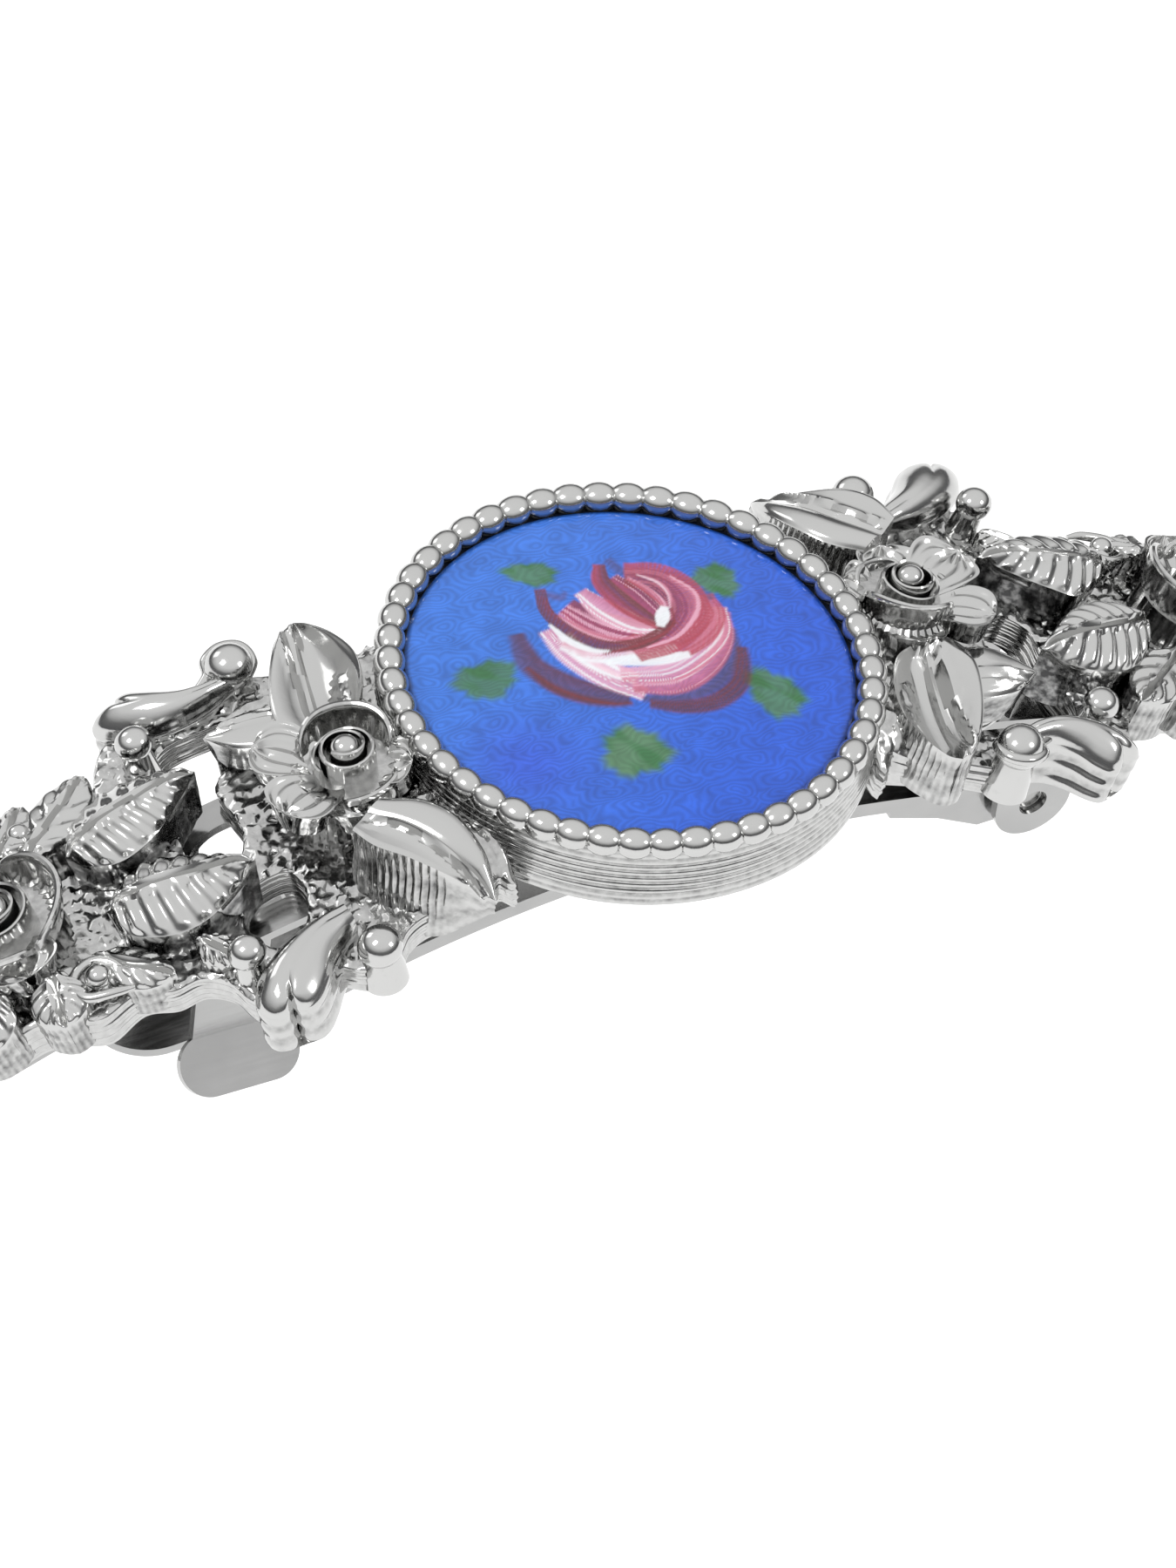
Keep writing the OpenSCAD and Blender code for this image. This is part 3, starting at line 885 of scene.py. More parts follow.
    def bud_lobes(self) -> list[Leaf]:
        """Gives the two buds: a neck by the ball, a round body and a small cleft in the blunt end."""
        buds = [
            ([(17.4, -9.15, 2.9), (19.2, -9.15, 2.9), (20.3, -9.7, 2.8), (21.1, -10.5, 2.6),
              (21.8, -10.95, 2.5), (22.4, -10.8, 2.5), (22.5, -10.15, 2.8)],
             [(17.3, -8.7, 3.35), (19.3, -8.4, 3.75), (20.9, -8.95, 3.9), (22.0, -9.7, 3.6),
              (22.5, -10.15, 2.8)],
             [(17.2, -8.25, 2.9), (19.4, -7.65, 2.9), (21.3, -7.75, 2.8), (22.9, -8.5, 2.6),
              (23.8, -9.4, 2.5), (23.85, -10.1, 2.5), (23.2, -10.4, 2.6), (22.5, -10.15, 2.8)]),
            ([(18.0, 8.45, 3.1), (19.4, 9.55, 3.2), (20.4, 10.8, 3.2), (21.1, 11.5, 3.1),
              (21.7, 11.75, 3.0), (22.2, 11.6, 3.0), (22.4, 11.2, 3.2)],
             [(18.1, 7.8, 3.6), (19.9, 8.5, 4.1), (21.4, 9.5, 4.2), (22.1, 10.5, 3.9), (22.4, 11.2, 3.2)],
             [(18.2, 7.15, 3.1), (20.0, 7.5, 3.2), (21.8, 8.2, 3.3), (23.2, 9.2, 3.3), (23.85, 10.5, 3.2),
              (23.6, 11.4, 3.0), (22.9, 11.6, 3.0), (22.4, 11.2, 3.2)]),
        ]
        return [Leaf(left, middle, right, crown=(0.34, 0.34), foot=0.2, flare=0.1, ripple=0.06,
                     wall_shade=0.2,
                     steps=80, across=33, wall_rows=20) for left, middle, right in buds]

    def outer_leaves(self) -> list[Leaf]:
        """Gives the small leaves and petals round the outer rose, each as a tip, a base and a width."""
        specs = [((29.4, -3.6), (25.4, -6.9), 3.0, 3.6, 3.2), ((30.6, -4.2), (28.6, -7.0), 2.6, 3.8, 3.2),
                 ((29.2, 3.6), (26.2, 6.2), 2.4, 3.3, 2.6), ((31.0, 3.6), (31.6, 6.2), 2.8, 3.8, 3.0),
                 ((33.4, 3.0), (35.6, 5.0), 2.8, 4.0, 3.0), ((33.2, -3.0), (34.6, -5.4), 2.8, 4.0, 3.0),
                 ((35.0, 0.9), (39.4, 2.7), 3.0, 4.3, 2.8), ((35.0, -0.9), (39.4, -2.6), 3.0, 4.3, 2.8),
                 ((37.0, 0.0), (42.1, 0.0), 2.6, 3.6, 2.6), ((24.6, 5.2), (23.4, 7.0), 1.8, 2.9, 2.5)]
        leaves = []
        for base, tip, width, high, low in specs:
            a, b = np.array(base), np.array(tip)
            side = np.array([a[1] - b[1], b[0] - a[0]]) / np.linalg.norm(b - a) * width / 2
            rails = []
            for k in (1, 0, -1):
                rise = 0.25 if k == 0 else 0.0
                stops = ((0.0, 0.35), (0.35, 0.95), (0.7, 0.85), (0.92, 0.4), (1.0, 0.0))
                rails.append([(*(a + (b - a) * u + side * k * w),
                               high + (low - high) * u + rise * (1 - u)) for u, w in stops])
            leaves.append(Leaf(*rails, crown=(0.2, 0.2), pattern=Pattern.FEATHER, depth=0.08, count=5.0,
                               foot=0.6, flare=0.0,
                               hatch=0.06, wall_shade=0.6, steps=60, across=25))
        return leaves

    def roses(self) -> list[Rose]:
        """Gives the inner rose, beside the medallion, and the outer rose."""
        inner = Rose(14.9, 0.5, 6.6, 2.9, 2.45, [(-112, 80, 6.3), (8, 48, 5.0), (105, 48, 5.0)],
                     [(27, 4.3, 3.6, 5.6), (-38, 4.5, 3.3, 5.5), (150, 3.1, 3.0, 5.1),
                      (82, 3.6, 3.2, 5.0), (-95, 3.0, 3.2, 4.4)],
                     heart_r=1.4)
        outer = Rose(32.0, -0.1, 6.4, 3.0, 3.05, [(180, 78, 6.2), (55, 60, 6.0), (-65, 60, 5.9)],
                     [(20, 4.4, 3.6, 5.2), (92, 4.1, 3.4, 5.1), (-80, 4.2, 3.4, 5.1),
                      (-30, 4.4, 3.4, 5.0)], heart_r=1.7)
        return [inner, outer]

    def balls(self, skin: Skin) -> None:
        """Adds the balls at the buds' feet and in the forks, two with a curl of wire round them."""
        for radius, centre in ((1.2, (16.93, -9.43, 3.15)), (1.08, (17.53, 10.1, 2.8)),
                               (0.9, (22.7, -7.2, 3.4)),
                               (0.9, (23.1, 7.8, 3.8)), (0.62, (29.3, 4.7, 3.4)),
                               (0.55, (29.3, -5.2, 3.6))):
            # Painted shade: slight on the balls and the wire curls, more on the necks.
            self.put(skin, ball_rings(radius, centre), 0.05)
            neck = turned_profile([(radius * 1.05, 0.3), (radius * 0.95, 1.4), (radius * 0.7, centre[2])],
                                  centre)
            self.put(skin, neck, 0.2)
        self.put(skin, tube([(16.3, -8.5, 2.9), (15.8, -9.2, 3.1), (16.0, -10.2, 3.3),
                             (16.9, -10.6, 3.35), (17.8, -10.2, 3.3), (18.1, -9.4, 3.1),
                             (19.3, -8.7, 2.9)], (0.18, 0.27, 0.3, 0.3, 0.29, 0.26, 0.18)), 0.05)
        self.put(skin, tube([(28.1, 6.0, 3.0), (28.9, 5.9, 3.2), (30.2, 5.4, 3.3), (30.3, 4.2, 3.4),
                             (29.4, 3.7, 3.4), (28.5, 4.2, 3.3), (28.0, 5.4, 3.1)],
                            (0.12, 0.24, 0.27, 0.27, 0.27, 0.25, 0.14)), 0.05)

    def build(self) -> list[bpy.types.Object]:
        """Builds the arm as three pieces: its ground plate, its roses and its leaves."""
        plate, roses, leaves = Skin(), Skin(), Skin()
        self.ground_skin(plate)
        for rose in self.roses():
            for rings, painted_shade in rose.skins():
                self.put(roses, rings, painted_shade)
        for leaf in self.leaves():
            self.put(leaves, *leaf.rings())
        self.balls(leaves)
        parts = {"ground": (plate, 70.0), "roses": (roses, 38.0), "leaves": (leaves, 38.0)}
        return [make_object(f"{self.name}_{part}", *made) for part, made in parts.items()]


def closed_curve(corners: np.ndarray, steps: int) -> np.ndarray:
    """Runs a smooth closed curve through some corners.

    Args:
        corners: the corners in order.
        steps: points from one corner to the next.

    Returns:
        The curve's points.
    """
    out = []
    n = len(corners)
    for i in range(n):
        a, b, c, d = (corners[(i + k - 1) % n] for k in range(4))
        for u in np.arange(steps) / steps:
            out.append(0.5 * (2 * b + (c - a) * u + (2 * a - 5 * b + 4 * c - d) * u ** 2
                              + (3 * b - a - 3 * c + d) * u ** 3))
    return np.array(out)


def inside_loop(points: np.ndarray, loop: np.ndarray) -> np.ndarray:
    """Tells which points lie inside a closed loop."""
    inside = np.zeros(len(points), dtype=bool)
    for (x1, y1), (x2, y2) in zip(loop, np.roll(loop, -1, axis=0)):
        crosses = (y1 > points[:, 1]) != (y2 > points[:, 1])
        if y1 != y2:
            inside ^= crosses & (points[:, 0] < (x2 - x1) * (points[:, 1] - y1) / (y2 - y1) + x1)
    return inside


def loop_normals(loop: np.ndarray) -> np.ndarray:
    """Gives the unit normals of a closed loop, pointing away from its inside."""
    tangent = np.roll(loop, -1, axis=0) - np.roll(loop, 1, axis=0)
    normal = np.column_stack([tangent[:, 1], -tangent[:, 0]])
    normal /= np.linalg.norm(normal, axis=1)[:, None]
    area = np.sum(loop[:, 0] * np.roll(loop[:, 1], -1) - np.roll(loop[:, 0], -1) * loop[:, 1])
    return normal if area > 0 else -normal


# ---------------------------------------------------------------- medallion


@dataclass
class Bezel:
    """The round cup of the casting, with fine turned lines on its wall and a row of beads on its rim."""

    centre_z: float
    wall_r: float = 12.75
    inner_r: float = 11.72
    height: float = 4.0
    recess: float = 1.9
    bead_r: float = 0.84
    bead_ring_r: float = 12.1
    bead_count: int = 50
    bead_drop: float = 0.13
    bead_shape: tuple[float, float, float] = (0.97, 1.26, 0.95)
    line_count: int = 9
    line_depth: float = 0.045

    def wall(self) -> bpy.types.Object:
        """Builds the cup as one turned skin."""
        steps = 44
        outer = []
        for i in range(steps + 1):
            share = i / steps
            ripple = (self.line_depth * math.sin(share * TAU * self.line_count)
                      * min(1.0, 6 * share * (1 - share)))
            outer.append((self.wall_r - 0.06 + ripple,
                          -self.height + 0.15 + (self.height - 0.35) * share))
        foot = [(2.6, -self.recess - 0.8), (self.inner_r - 0.6, -self.recess - 0.8),
                (self.inner_r - 0.6, -self.height), (self.wall_r - 0.25, -self.height)]
        rim = [(self.wall_r - 0.2, -0.1), (self.inner_r, -0.1), (self.inner_r, -self.recess),
               (2.6, -self.recess)]
        profile = foot + outer + rim
        lon = np.linspace(0, TAU, 220, endpoint=False)
        points = np.array(profile)
        wobble = 0.02 * np.sin(lon * 7)[:, None] * np.sin(points[:, 1] * 2.2)[None, :]
        r = points[None, :, 0] + wobble
        z = np.broadcast_to(points[None, :, 1] + self.centre_z, r.shape)
        rings = np.stack([r * np.cos(lon)[:, None], r * np.sin(lon)[:, None], z], axis=-1)
        # Painted shade: in the grooves of the turned lines on the outer wall, and full on the inner wall
        # in the narrow gap round the enamel.
        share = (points[:, 1] + self.height - 0.15) / (self.height - 0.35)
        groove = 0.5 - 0.5 * np.sin(share * TAU * self.line_count)
        shade = np.where(points[:, 0] > self.wall_r - 0.15, 0.2 + 0.45 * groove, 0.15)
        shade = np.where(np.abs(points[:, 0] - self.inner_r) < 0.01, 1.0, shade)
        skin = Skin()
        skin.loft(rings, looped=True, painted_shade=shade)
        return make_object("bezel_cup", skin, crease=50)

    def beads(self, material: bpy.types.Material) -> bpy.types.Object:
        """Builds the row of beads with a node tree that sets one bead on each point of a ring."""
        tree = bpy.data.node_groups.new("bead_row", "GeometryNodeTree")
        tree.interface.new_socket("Geometry", in_out="OUTPUT", socket_type="NodeSocketGeometry")
        values = {"Bead Count": ("NodeSocketInt", self.bead_count),
                  "Ring Radius": ("NodeSocketFloat", self.bead_ring_r * MM),
                  "Bead Radius": ("NodeSocketFloat", self.bead_r * MM),
                  "Height": ("NodeSocketFloat", (self.centre_z - self.bead_drop) * MM)}
        for name, (kind, value) in values.items():
            tree.interface.new_socket(name, in_out="INPUT", socket_type=kind).default_value = value
        source = tree.nodes.new("NodeGroupInput")
        ring = tree.nodes.new("GeometryNodeMeshCircle")
        bead = tree.nodes.new("GeometryNodeMeshUVSphere")
        place = tree.nodes.new("GeometryNodeInstanceOnPoints")
        spot = tree.nodes.new("GeometryNodeInputPosition")
        aim = tree.nodes.new("FunctionNodeAlignRotationToVector")
        lift = tree.nodes.new("GeometryNodeTransform")
        high = tree.nodes.new("ShaderNodeCombineXYZ")
        real = tree.nodes.new("GeometryNodeRealizeInstances")
        finish = tree.nodes.new("GeometryNodeSetMaterial")
        out = tree.nodes.new("NodeGroupOutput")
        bead.inputs["Segments"].default_value = 18
        bead.inputs["Rings"].default_value = 12
        aim.axis = "X"
        place.inputs["Scale"].default_value = self.bead_shape
        finish.inputs["Material"].default_value = material
        link = tree.links.new
        link(source.outputs["Bead Count"], ring.inputs["Vertices"])
        link(source.outputs["Ring Radius"], ring.inputs["Radius"])
        link(source.outputs["Bead Radius"], bead.inputs["Radius"])
        link(source.outputs["Height"], high.inputs["Z"])
        link(ring.outputs[0], place.inputs["Points"])
        link(bead.outputs[0], place.inputs["Instance"])
        link(spot.outputs[0], aim.inputs["Vector"])
        link(aim.outputs[0], place.inputs["Rotation"])
        link(place.outputs[0], lift.inputs["Geometry"])
        link(high.outputs[0], lift.inputs["Translation"])
        link(lift.outputs[0], real.inputs[0])
        link(real.outputs[0], finish.inputs["Geometry"])
        link(finish.outputs[0], out.inputs[0])
        return realised("bezel_beads", tree)


def realised(name: str, tree: bpy.types.NodeTree) -> bpy.types.Object:
    """Runs a geometry node tree and keeps its result as a plain mesh.

    Args:
        name: the piece's name.
        tree: a tree that makes its own geometry.

    Returns:
        The object with a plain mesh and no modifier.
    """
    obj = bpy.data.objects.new(name, bpy.data.meshes.new(name))
    bpy.context.scene.collection.objects.link(obj)
    modifier = obj.modifiers.new("maker", "NODES")
    modifier.node_group = tree
    for item in tree.interface.items_tree:
        if item.in_out == "INPUT":
            modifier[item.identifier] = item.default_value
    evaluated = obj.evaluated_get(bpy.context.evaluated_depsgraph_get())
    mesh = bpy.data.meshes.new_from_object(evaluated)
    obj.modifiers.remove(modifier)
    obj.data = mesh
    mesh.polygons.foreach_set("use_smooth", [True] * len(mesh.polygons))
    return obj


@dataclass(frozen=True)
class Stroke:
    """One stroke of the china painter's brush: it fades at its ends and leaves streaks along its way."""

    path: tuple[tuple[float, float], ...]
    width: float
    colours: tuple[str, str]
    streak: str
    streaks: float = 0.5
    soft: float = 0.12
    swell: float = 0.5
    strength: float = 1.0

    def lay(self, flat: np.ndarray, colour: np.ndarray, noise: np.random.Generator) -> np.ndarray:
        """Lays the stroke over the colours that are there.

        Args:
            flat: the points' places across the disc.
            colour: their linear colours so far.
            noise: the source of the streaks.

        Returns:
            The new colours.
        """
        u = np.linspace(0, 1, 60)
        line = open_curve(self.path, u)
        way = np.gradient(line, axis=0)
        way /= np.linalg.norm(way, axis=1)[:, None]
        near = np.argmin(((flat[:, None, :] - line[None]) ** 2).sum(axis=2), axis=1)
        gap = flat - line[near]
        side = gap[:, 0] * way[near, 1] - gap[:, 1] * way[near, 0]
        ahead = np.abs(gap[:, 0] * way[near, 0] + gap[:, 1] * way[near, 1])
        swelling = np.sin(math.pi * np.clip(u[near], 0.04, 0.96)) ** 0.7
        half = self.width / 2 * (1 - self.swell + self.swell * swelling)
        place = side / half
        hairs = noise.uniform(0, 1, 64)
        bristle = place * 0.5 * self.width * 11 + 32 + 0.9 * np.sin(u[near] * 5)
        hair = np.interp(bristle, np.arange(64), hairs)
        inside = 1 - smooth(np.abs(place), 1 - self.soft / half, 1 + self.soft * 0.4 / half)
        cover = inside * (1 - smooth(ahead, 0.02, 0.22))
        cover = cover * self.strength * (0.86 + 0.14 * hair)
        first, second, third = (np.array(srgb(c)[:3]) for c in (*self.colours, self.streak))
        share = smooth(place, -1, 1)[:, None]
        own = first * (1 - share) + second * share
        mark = (smooth(hair, 0.45, 0.8) * self.streaks)[:, None]
        own = own * (1 - mark) + third * mark
        return colour * (1 - cover[:, None]) + own * cover[:, None]


@dataclass(frozen=True)
class PaintedLeaf:
    """A soft, ragged dab of green enamel."""

    centre: tuple[float, float]
    size: tuple[float, float]
    turn: float
    colours: tuple[str, str] = ("46755A", "2E6A2E")

    def lay(self, flat: np.ndarray, colour: np.ndarray, noise: np.random.Generator) -> np.ndarray:
        """Lays the dab over the colours that are there, as Stroke.lay does."""
        c, s = math.cos(math.radians(self.turn)), math.sin(math.radians(self.turn))
        gap = flat - np.array(self.centre)
        x = (gap[:, 0] * c + gap[:, 1] * s) / self.size[0] * 2
        y = (gap[:, 1] * c - gap[:, 0] * s) / self.size[1] * 2
        angle = np.arctan2(y, x)
        phase = noise.uniform(0, TAU, 4)
        waves = ((0.1, 3, phase[0]), (0.07, 7, phase[1]), (0.04, 15, phase[2]))
        edge = 1 + sum(size * np.sin(n * angle + start) for size, n, start in waves)
        away = np.hypot(x, y) / edge
        cover = 0.97 * (1 - smooth(away, 0.72, 1.12))
        mottle = np.sin(x * 3.1 + phase[3]) * np.sin(y * 2.7 + phase[0])
        blot = smooth(mottle + 0.4 * np.sin(9 * x + 5 * y), -0.4, 1.0)[:, None]
        light, dark = (np.array(srgb(k)[:3]) for k in self.colours)
        own = light * (1 - blot) + dark * blot
        return colour * (1 - cover[:, None]) + own * cover[:, None]


@dataclass
class EnamelDisc:
    """The domed enamel, painted with a rose and five leaves on a blue ground."""

    radius: float
    centre_z: float
    dome: float = 0.35
    cells: int = 236

    def surface(self) -> tuple[np.ndarray, list[tuple[int, ...]]]:
        """Makes the domed top from a square grid pressed into a circle, then its edge and back."""
        n = self.cells
        u = np.linspace(-1, 1, n + 1)
        a, b = np.meshgrid(u, u, indexing="ij")
        big = np.maximum(np.abs(a), np.abs(b))
        with np.errstate(divide="ignore", invalid="ignore"):
            angle = np.where(np.abs(a) >= np.abs(b), np.where(a >= 0, 0, math.pi) + math.pi / 4 * b / a,
                             np.where(b >= 0, math.pi / 2, -math.pi / 2) - math.pi / 4 * a / b)
        angle = np.where(big == 0, 0, angle)
        x, y = self.radius * big * np.cos(angle), self.radius * big * np.sin(angle)
        sphere = (self.radius ** 2 + self.dome ** 2) / (2 * self.dome)
        z = self.centre_z - sphere + np.sqrt(sphere ** 2 - x * x - y * y)
        z -= 0.06 * smooth(np.hypot(x, y), self.radius - 0.25, self.radius)
        points = np.stack([x, y, z], axis=-1).reshape(-1, 3)
        faces = []
        for i in range(n):
            for j in range(n):
                k = i * (n + 1) + j
                faces.append((k, k + n + 1, k + n + 2, k + 1))
        rim = [i * (n + 1) for i in range(n)] + [n * (n + 1) + j for j in range(n)]
        rim += [(n - i) * (n + 1) + n for i in range(n)] + [n - j for j in range(n)]
        foot = points[rim].copy()
        foot[:, 2] = self.centre_z - 0.9
        count = len(points)
        total = len(rim)
        faces.extend((rim[j], count + j, count + (j + 1) % total, rim[(j + 1) % total])
                     for j in range(total))
        faces.append(tuple(count + j for j in range(total)))
        return np.concatenate([points, foot]), faces

    def dabs(self) -> list[Stroke | PaintedLeaf]:
        """Gives the leaves and the rose's strokes in the order in which they are laid."""
        white, blush, pink, red = "E4EAEE", "DFA9BF", "C7768F", "A93D50"
        dark, brown, plum = "7C2C37", "5E2A33", "4A4377"
        return [
            PaintedLeaf((-1.9, 7.7), (3.0, 1.8), -28),
            PaintedLeaf((6.8, 4.1), (2.4, 2.7), 20),
            PaintedLeaf((-7.2, 1.7), (3.6, 2.7), 4, ("40705C", "306A34")),
            PaintedLeaf((6.0, -4.1), (2.7, 3.9), 14),
            PaintedLeaf((-2.4, -5.4), (3.7, 3.5), -10, ("527C56", "326C34")),
            Stroke(((-4.5, 3.9), (-4.7, 1.8), (-3.9, 0.2), (-2.7, -1.0), (-1.2, -2.0)),
                   1.7, (brown, plum), plum, 0.5, 0.3, 0.5),
            Stroke(((-4.95, 1.6), (-4.4, 0.0), (-3.4, -1.2), (-2.1, -2.05), (-1.2, -2.35)),
                   0.8, (brown, brown), dark, 0.4, 0.3),
            Stroke(((-0.4, -2.3), (1.6, -2.8), (3.6, -2.4), (5.2, -1.0), (5.9, 0.6)),
                   1.1, (plum, "4B3F6C"), plum, 0.3, 0.3),
            Stroke(((-0.2, -2.8), (1.2, -3.5), (2.9, -3.7), (4.5, -3.0), (5.4, -1.7), (5.8, -0.8)),
                   1.25, (brown, "4F2A3A"), dark, 0.4, 0.25),
            Stroke(((-2.9, 3.6), (-2.6, 1.7), (-1.7, -0.2), (-0.3, -2.0)),
                   1.5, (pink, blush), white, 0.75, 0.2, 0.35),
            Stroke(((-2.2, 3.0), (-1.9, 1.4), (-1.0, 0.0), (-0.2, -0.9)),
                   1.3, (blush, "EBD6E0"), white, 0.9, 0.2, 0.35),
            Stroke(((-0.5, -1.5), (1.6, -2.1), (3.6, -1.4), (5.2, 0.1), (6.0, 1.8)),
                   1.3, (pink, "B35A72"), blush, 0.7, 0.18, 0.4),
            Stroke(((-0.7, -0.5), (1.6, -1.1), (3.7, -0.4), (5.2, 0.7), (5.9, 2.2)),
                   1.5, (blush, pink), white, 0.8, 0.12, 0.35),
            Stroke(((0.2, 0.6), (2.4, 0.2), (4.2, 0.7), (5.5, 1.8), (5.7, 3.2)),
                   1.5, (pink, "B85268"), red, 0.7, 0.12, 0.4),
            Stroke(((-2.6, 2.4), (-1.6, 1.3), (0.4, 0.75), (2.6, 0.6)),
                   1.2, (blush, white), pink, 0.5, 0.2, 0.4),
            Stroke(((-1.0, 0.6), (0.4, 0.25), (1.8, -0.15), (3.0, -0.3)),
                   1.0, (white, white), blush, 0.15, 0.12, 0.6),
            Stroke(((2.2, 7.2), (2.6, 6.2), (4.0, 5.6), (5.3, 4.4), (5.9, 3.0)),
                   0.9, (plum, plum), brown, 0.3, 0.3, 0.3, 0.7),
            Stroke(((0.6, 0.95), (2.6, 1.2), (4.2, 2.3), (4.6, 3.8), (4.0, 5.2), (2.6, 5.9)),
                   2.5, (dark, red), pink, 0.45, 0.1, 0.3),
            Stroke(((1.4, 0.8), (3.2, 1.0), (4.8, 2.2), (5.3, 3.6), (4.7, 5.0)),
                   0.5, (pink, red), blush, 0.8, 0.08, 0.5),
            Stroke(((3.7, 3.1), (4.05, 4.0), (3.9, 4.9), (3.2, 5.7)),
                   0.3, (blush, pink), white, 0.3, 0.08, 0.6),
            Stroke(((-1.2, 4.8), (-0.3, 3.2), (1.0, 2.1), (2.5, 1.85)),
                   2.1, (dark, red), blush, 0.9, 0.1, 0.45),
            Stroke(((-0.1, 5.5), (0.4, 4.0), (1.4, 2.6), (2.5, 1.95)),
                   1.6, (pink, blush), white, 0.85, 0.1, 0.55),
            Stroke(((-1.9, 4.4), (-1.0, 2.7), (0.4, 1.7), (1.9, 1.6)),
                   0.55, (pink, red), blush, 0.8, 0.1, 0.5),
            Stroke(((1.9, 5.9), (2.4, 4.5), (2.9, 3.0), (3.0, 2.4)),
                   1.3, (dark, red), blush, 0.8, 0.1, 0.5),
            Stroke(((2.6, 5.6), (3.1, 4.6), (3.4, 3.6), (3.3, 2.9)),
                   0.5, (pink, red), blush, 0.8, 0.08, 0.5),
            Stroke(((1.6, 7.0), (1.2, 5.8), (1.6, 4.0), (2.5, 2.1)),
                   1.25, (brown, red), dark, 0.4, 0.1, 0.55),
            Stroke(((-2.0, 6.4), (-2.35, 4.9), (-1.9, 3.2), (-0.7, 1.7),
                    (0.8, 1.25), (2.2, 1.5), (3.2, 2.1)),
                   0.85, (dark, brown), brown, 0.4, 0.08, 0.3),
            Stroke(((-2.1, 6.3), (-1.3, 5.6), (-0.9, 5.8)),
                   0.7, (plum, plum), brown, 0.3, 0.3, 0.5, 0.7),
            Stroke(((-2.6, 3.9), (-2.2, 2.6), (-1.4, 1.6), (-0.7, 1.25)),
                   0.5, (white, white), blush, 0.2, 0.1, 0.6),
            Stroke(((2.65, 2.05), (2.95, 2.5), (3.35, 3.1)),
                   0.8, (white, white), blush, 0.1, 0.08, 0.5),
            Stroke(((-0.9, 1.15), (0.6, 1.1), (2.2, 1.35), (3.3, 1.95), (3.7, 2.9)),
                   0.24, (dark, dark), red, 0.3, 0.06, 0.5),
        ]

    def paint(self, flat: np.ndarray) -> np.ndarray:
        """Works out the colour of the enamel at each point.

        Args:
            flat: the points' places across the disc.

        Returns:
            Linear colours, and as alpha how far the engine turning shows through.
        """
        x, y = flat[:, 0], flat[:, 1]
        pale, full, violet, deep = (np.array(srgb(c)[:3])
                                    for c in ("346FCE", "2055C6", "2C46C4", "0A1630"))
        slope = smooth(0.75 * x - 0.66 * y, -9, 9)[:, None]
        colour = pale * (1 - slope) + full * slope
        tinge = (0.6 * np.exp(-((x + 7.8) ** 2 + (y + 4.2) ** 2) / 9))[:, None]
        colour = colour * (1 - tinge) + violet * tinge
        bare = colour.copy()
        noise = np.random.default_rng(5)
        for dab in self.dabs():
            colour = dab.lay(flat, colour, noise)
        clear = 1 - 0.85 * smooth(np.linalg.norm(colour - bare, axis=1), 0.35, 0.7)
        edge = (0.75 * smooth(np.hypot(x, y), self.radius - 0.3, self.radius))[:, None]
        colour = colour * (1 - edge) + deep * edge
        return np.column_stack([colour, clear])

    def build(self) -> bpy.types.Object:
        """Builds the painted enamel as one piece."""
        points, faces = self.surface()
        skin = Skin()
        skin.add(points, faces)
        obj = make_object("enamel_dome", skin, crease=60)
        layer = obj.data.attributes.new("paint", "FLOAT_COLOR", "POINT")
        layer.data.foreach_set("color", self.paint(points[:, :2]).astype(np.float32).reshape(-1))
        return obj


# ---------------------------------------------------------------- clip


@dataclass(frozen=True)
class HingePin:
    """The hinge pin: steel wire with chamfered ends, cut short of the ears' outer faces."""

    short: float = 0.4
    chamfer: float = 0.18

    def build(self) -> bpy.types.Object:
        """Builds the pin as one skin along Y, on the CAD pin's own axis."""
        low, high = cad_box("hinge_pin")
        centre, radius = (low + high) / 2, (high[2] - low[2]) / 2
        half = high[1] - self.short
        stops = [(-half, radius - 2.2 * self.chamfer), (-half, radius - self.chamfer),
                 (-half + self.chamfer, radius)]
        stops += [(y, radius) for y in np.linspace(-half + 0.5, half - 0.5, 9)]
        stops += [(-y, r) for y, r in reversed(stops[:3])]
        lon = np.linspace(0, TAU, 36, endpoint=False)
        rings = [np.column_stack([centre[0] + r * np.cos(lon), np.full(36, y),
                                  centre[2] + r * np.sin(lon)]) for y, r in stops]
        skin = Skin()
        skin.loft(np.array(rings))
        return make_object("hinge_pin_wire", skin)


# ---------------------------------------------------------------- studio


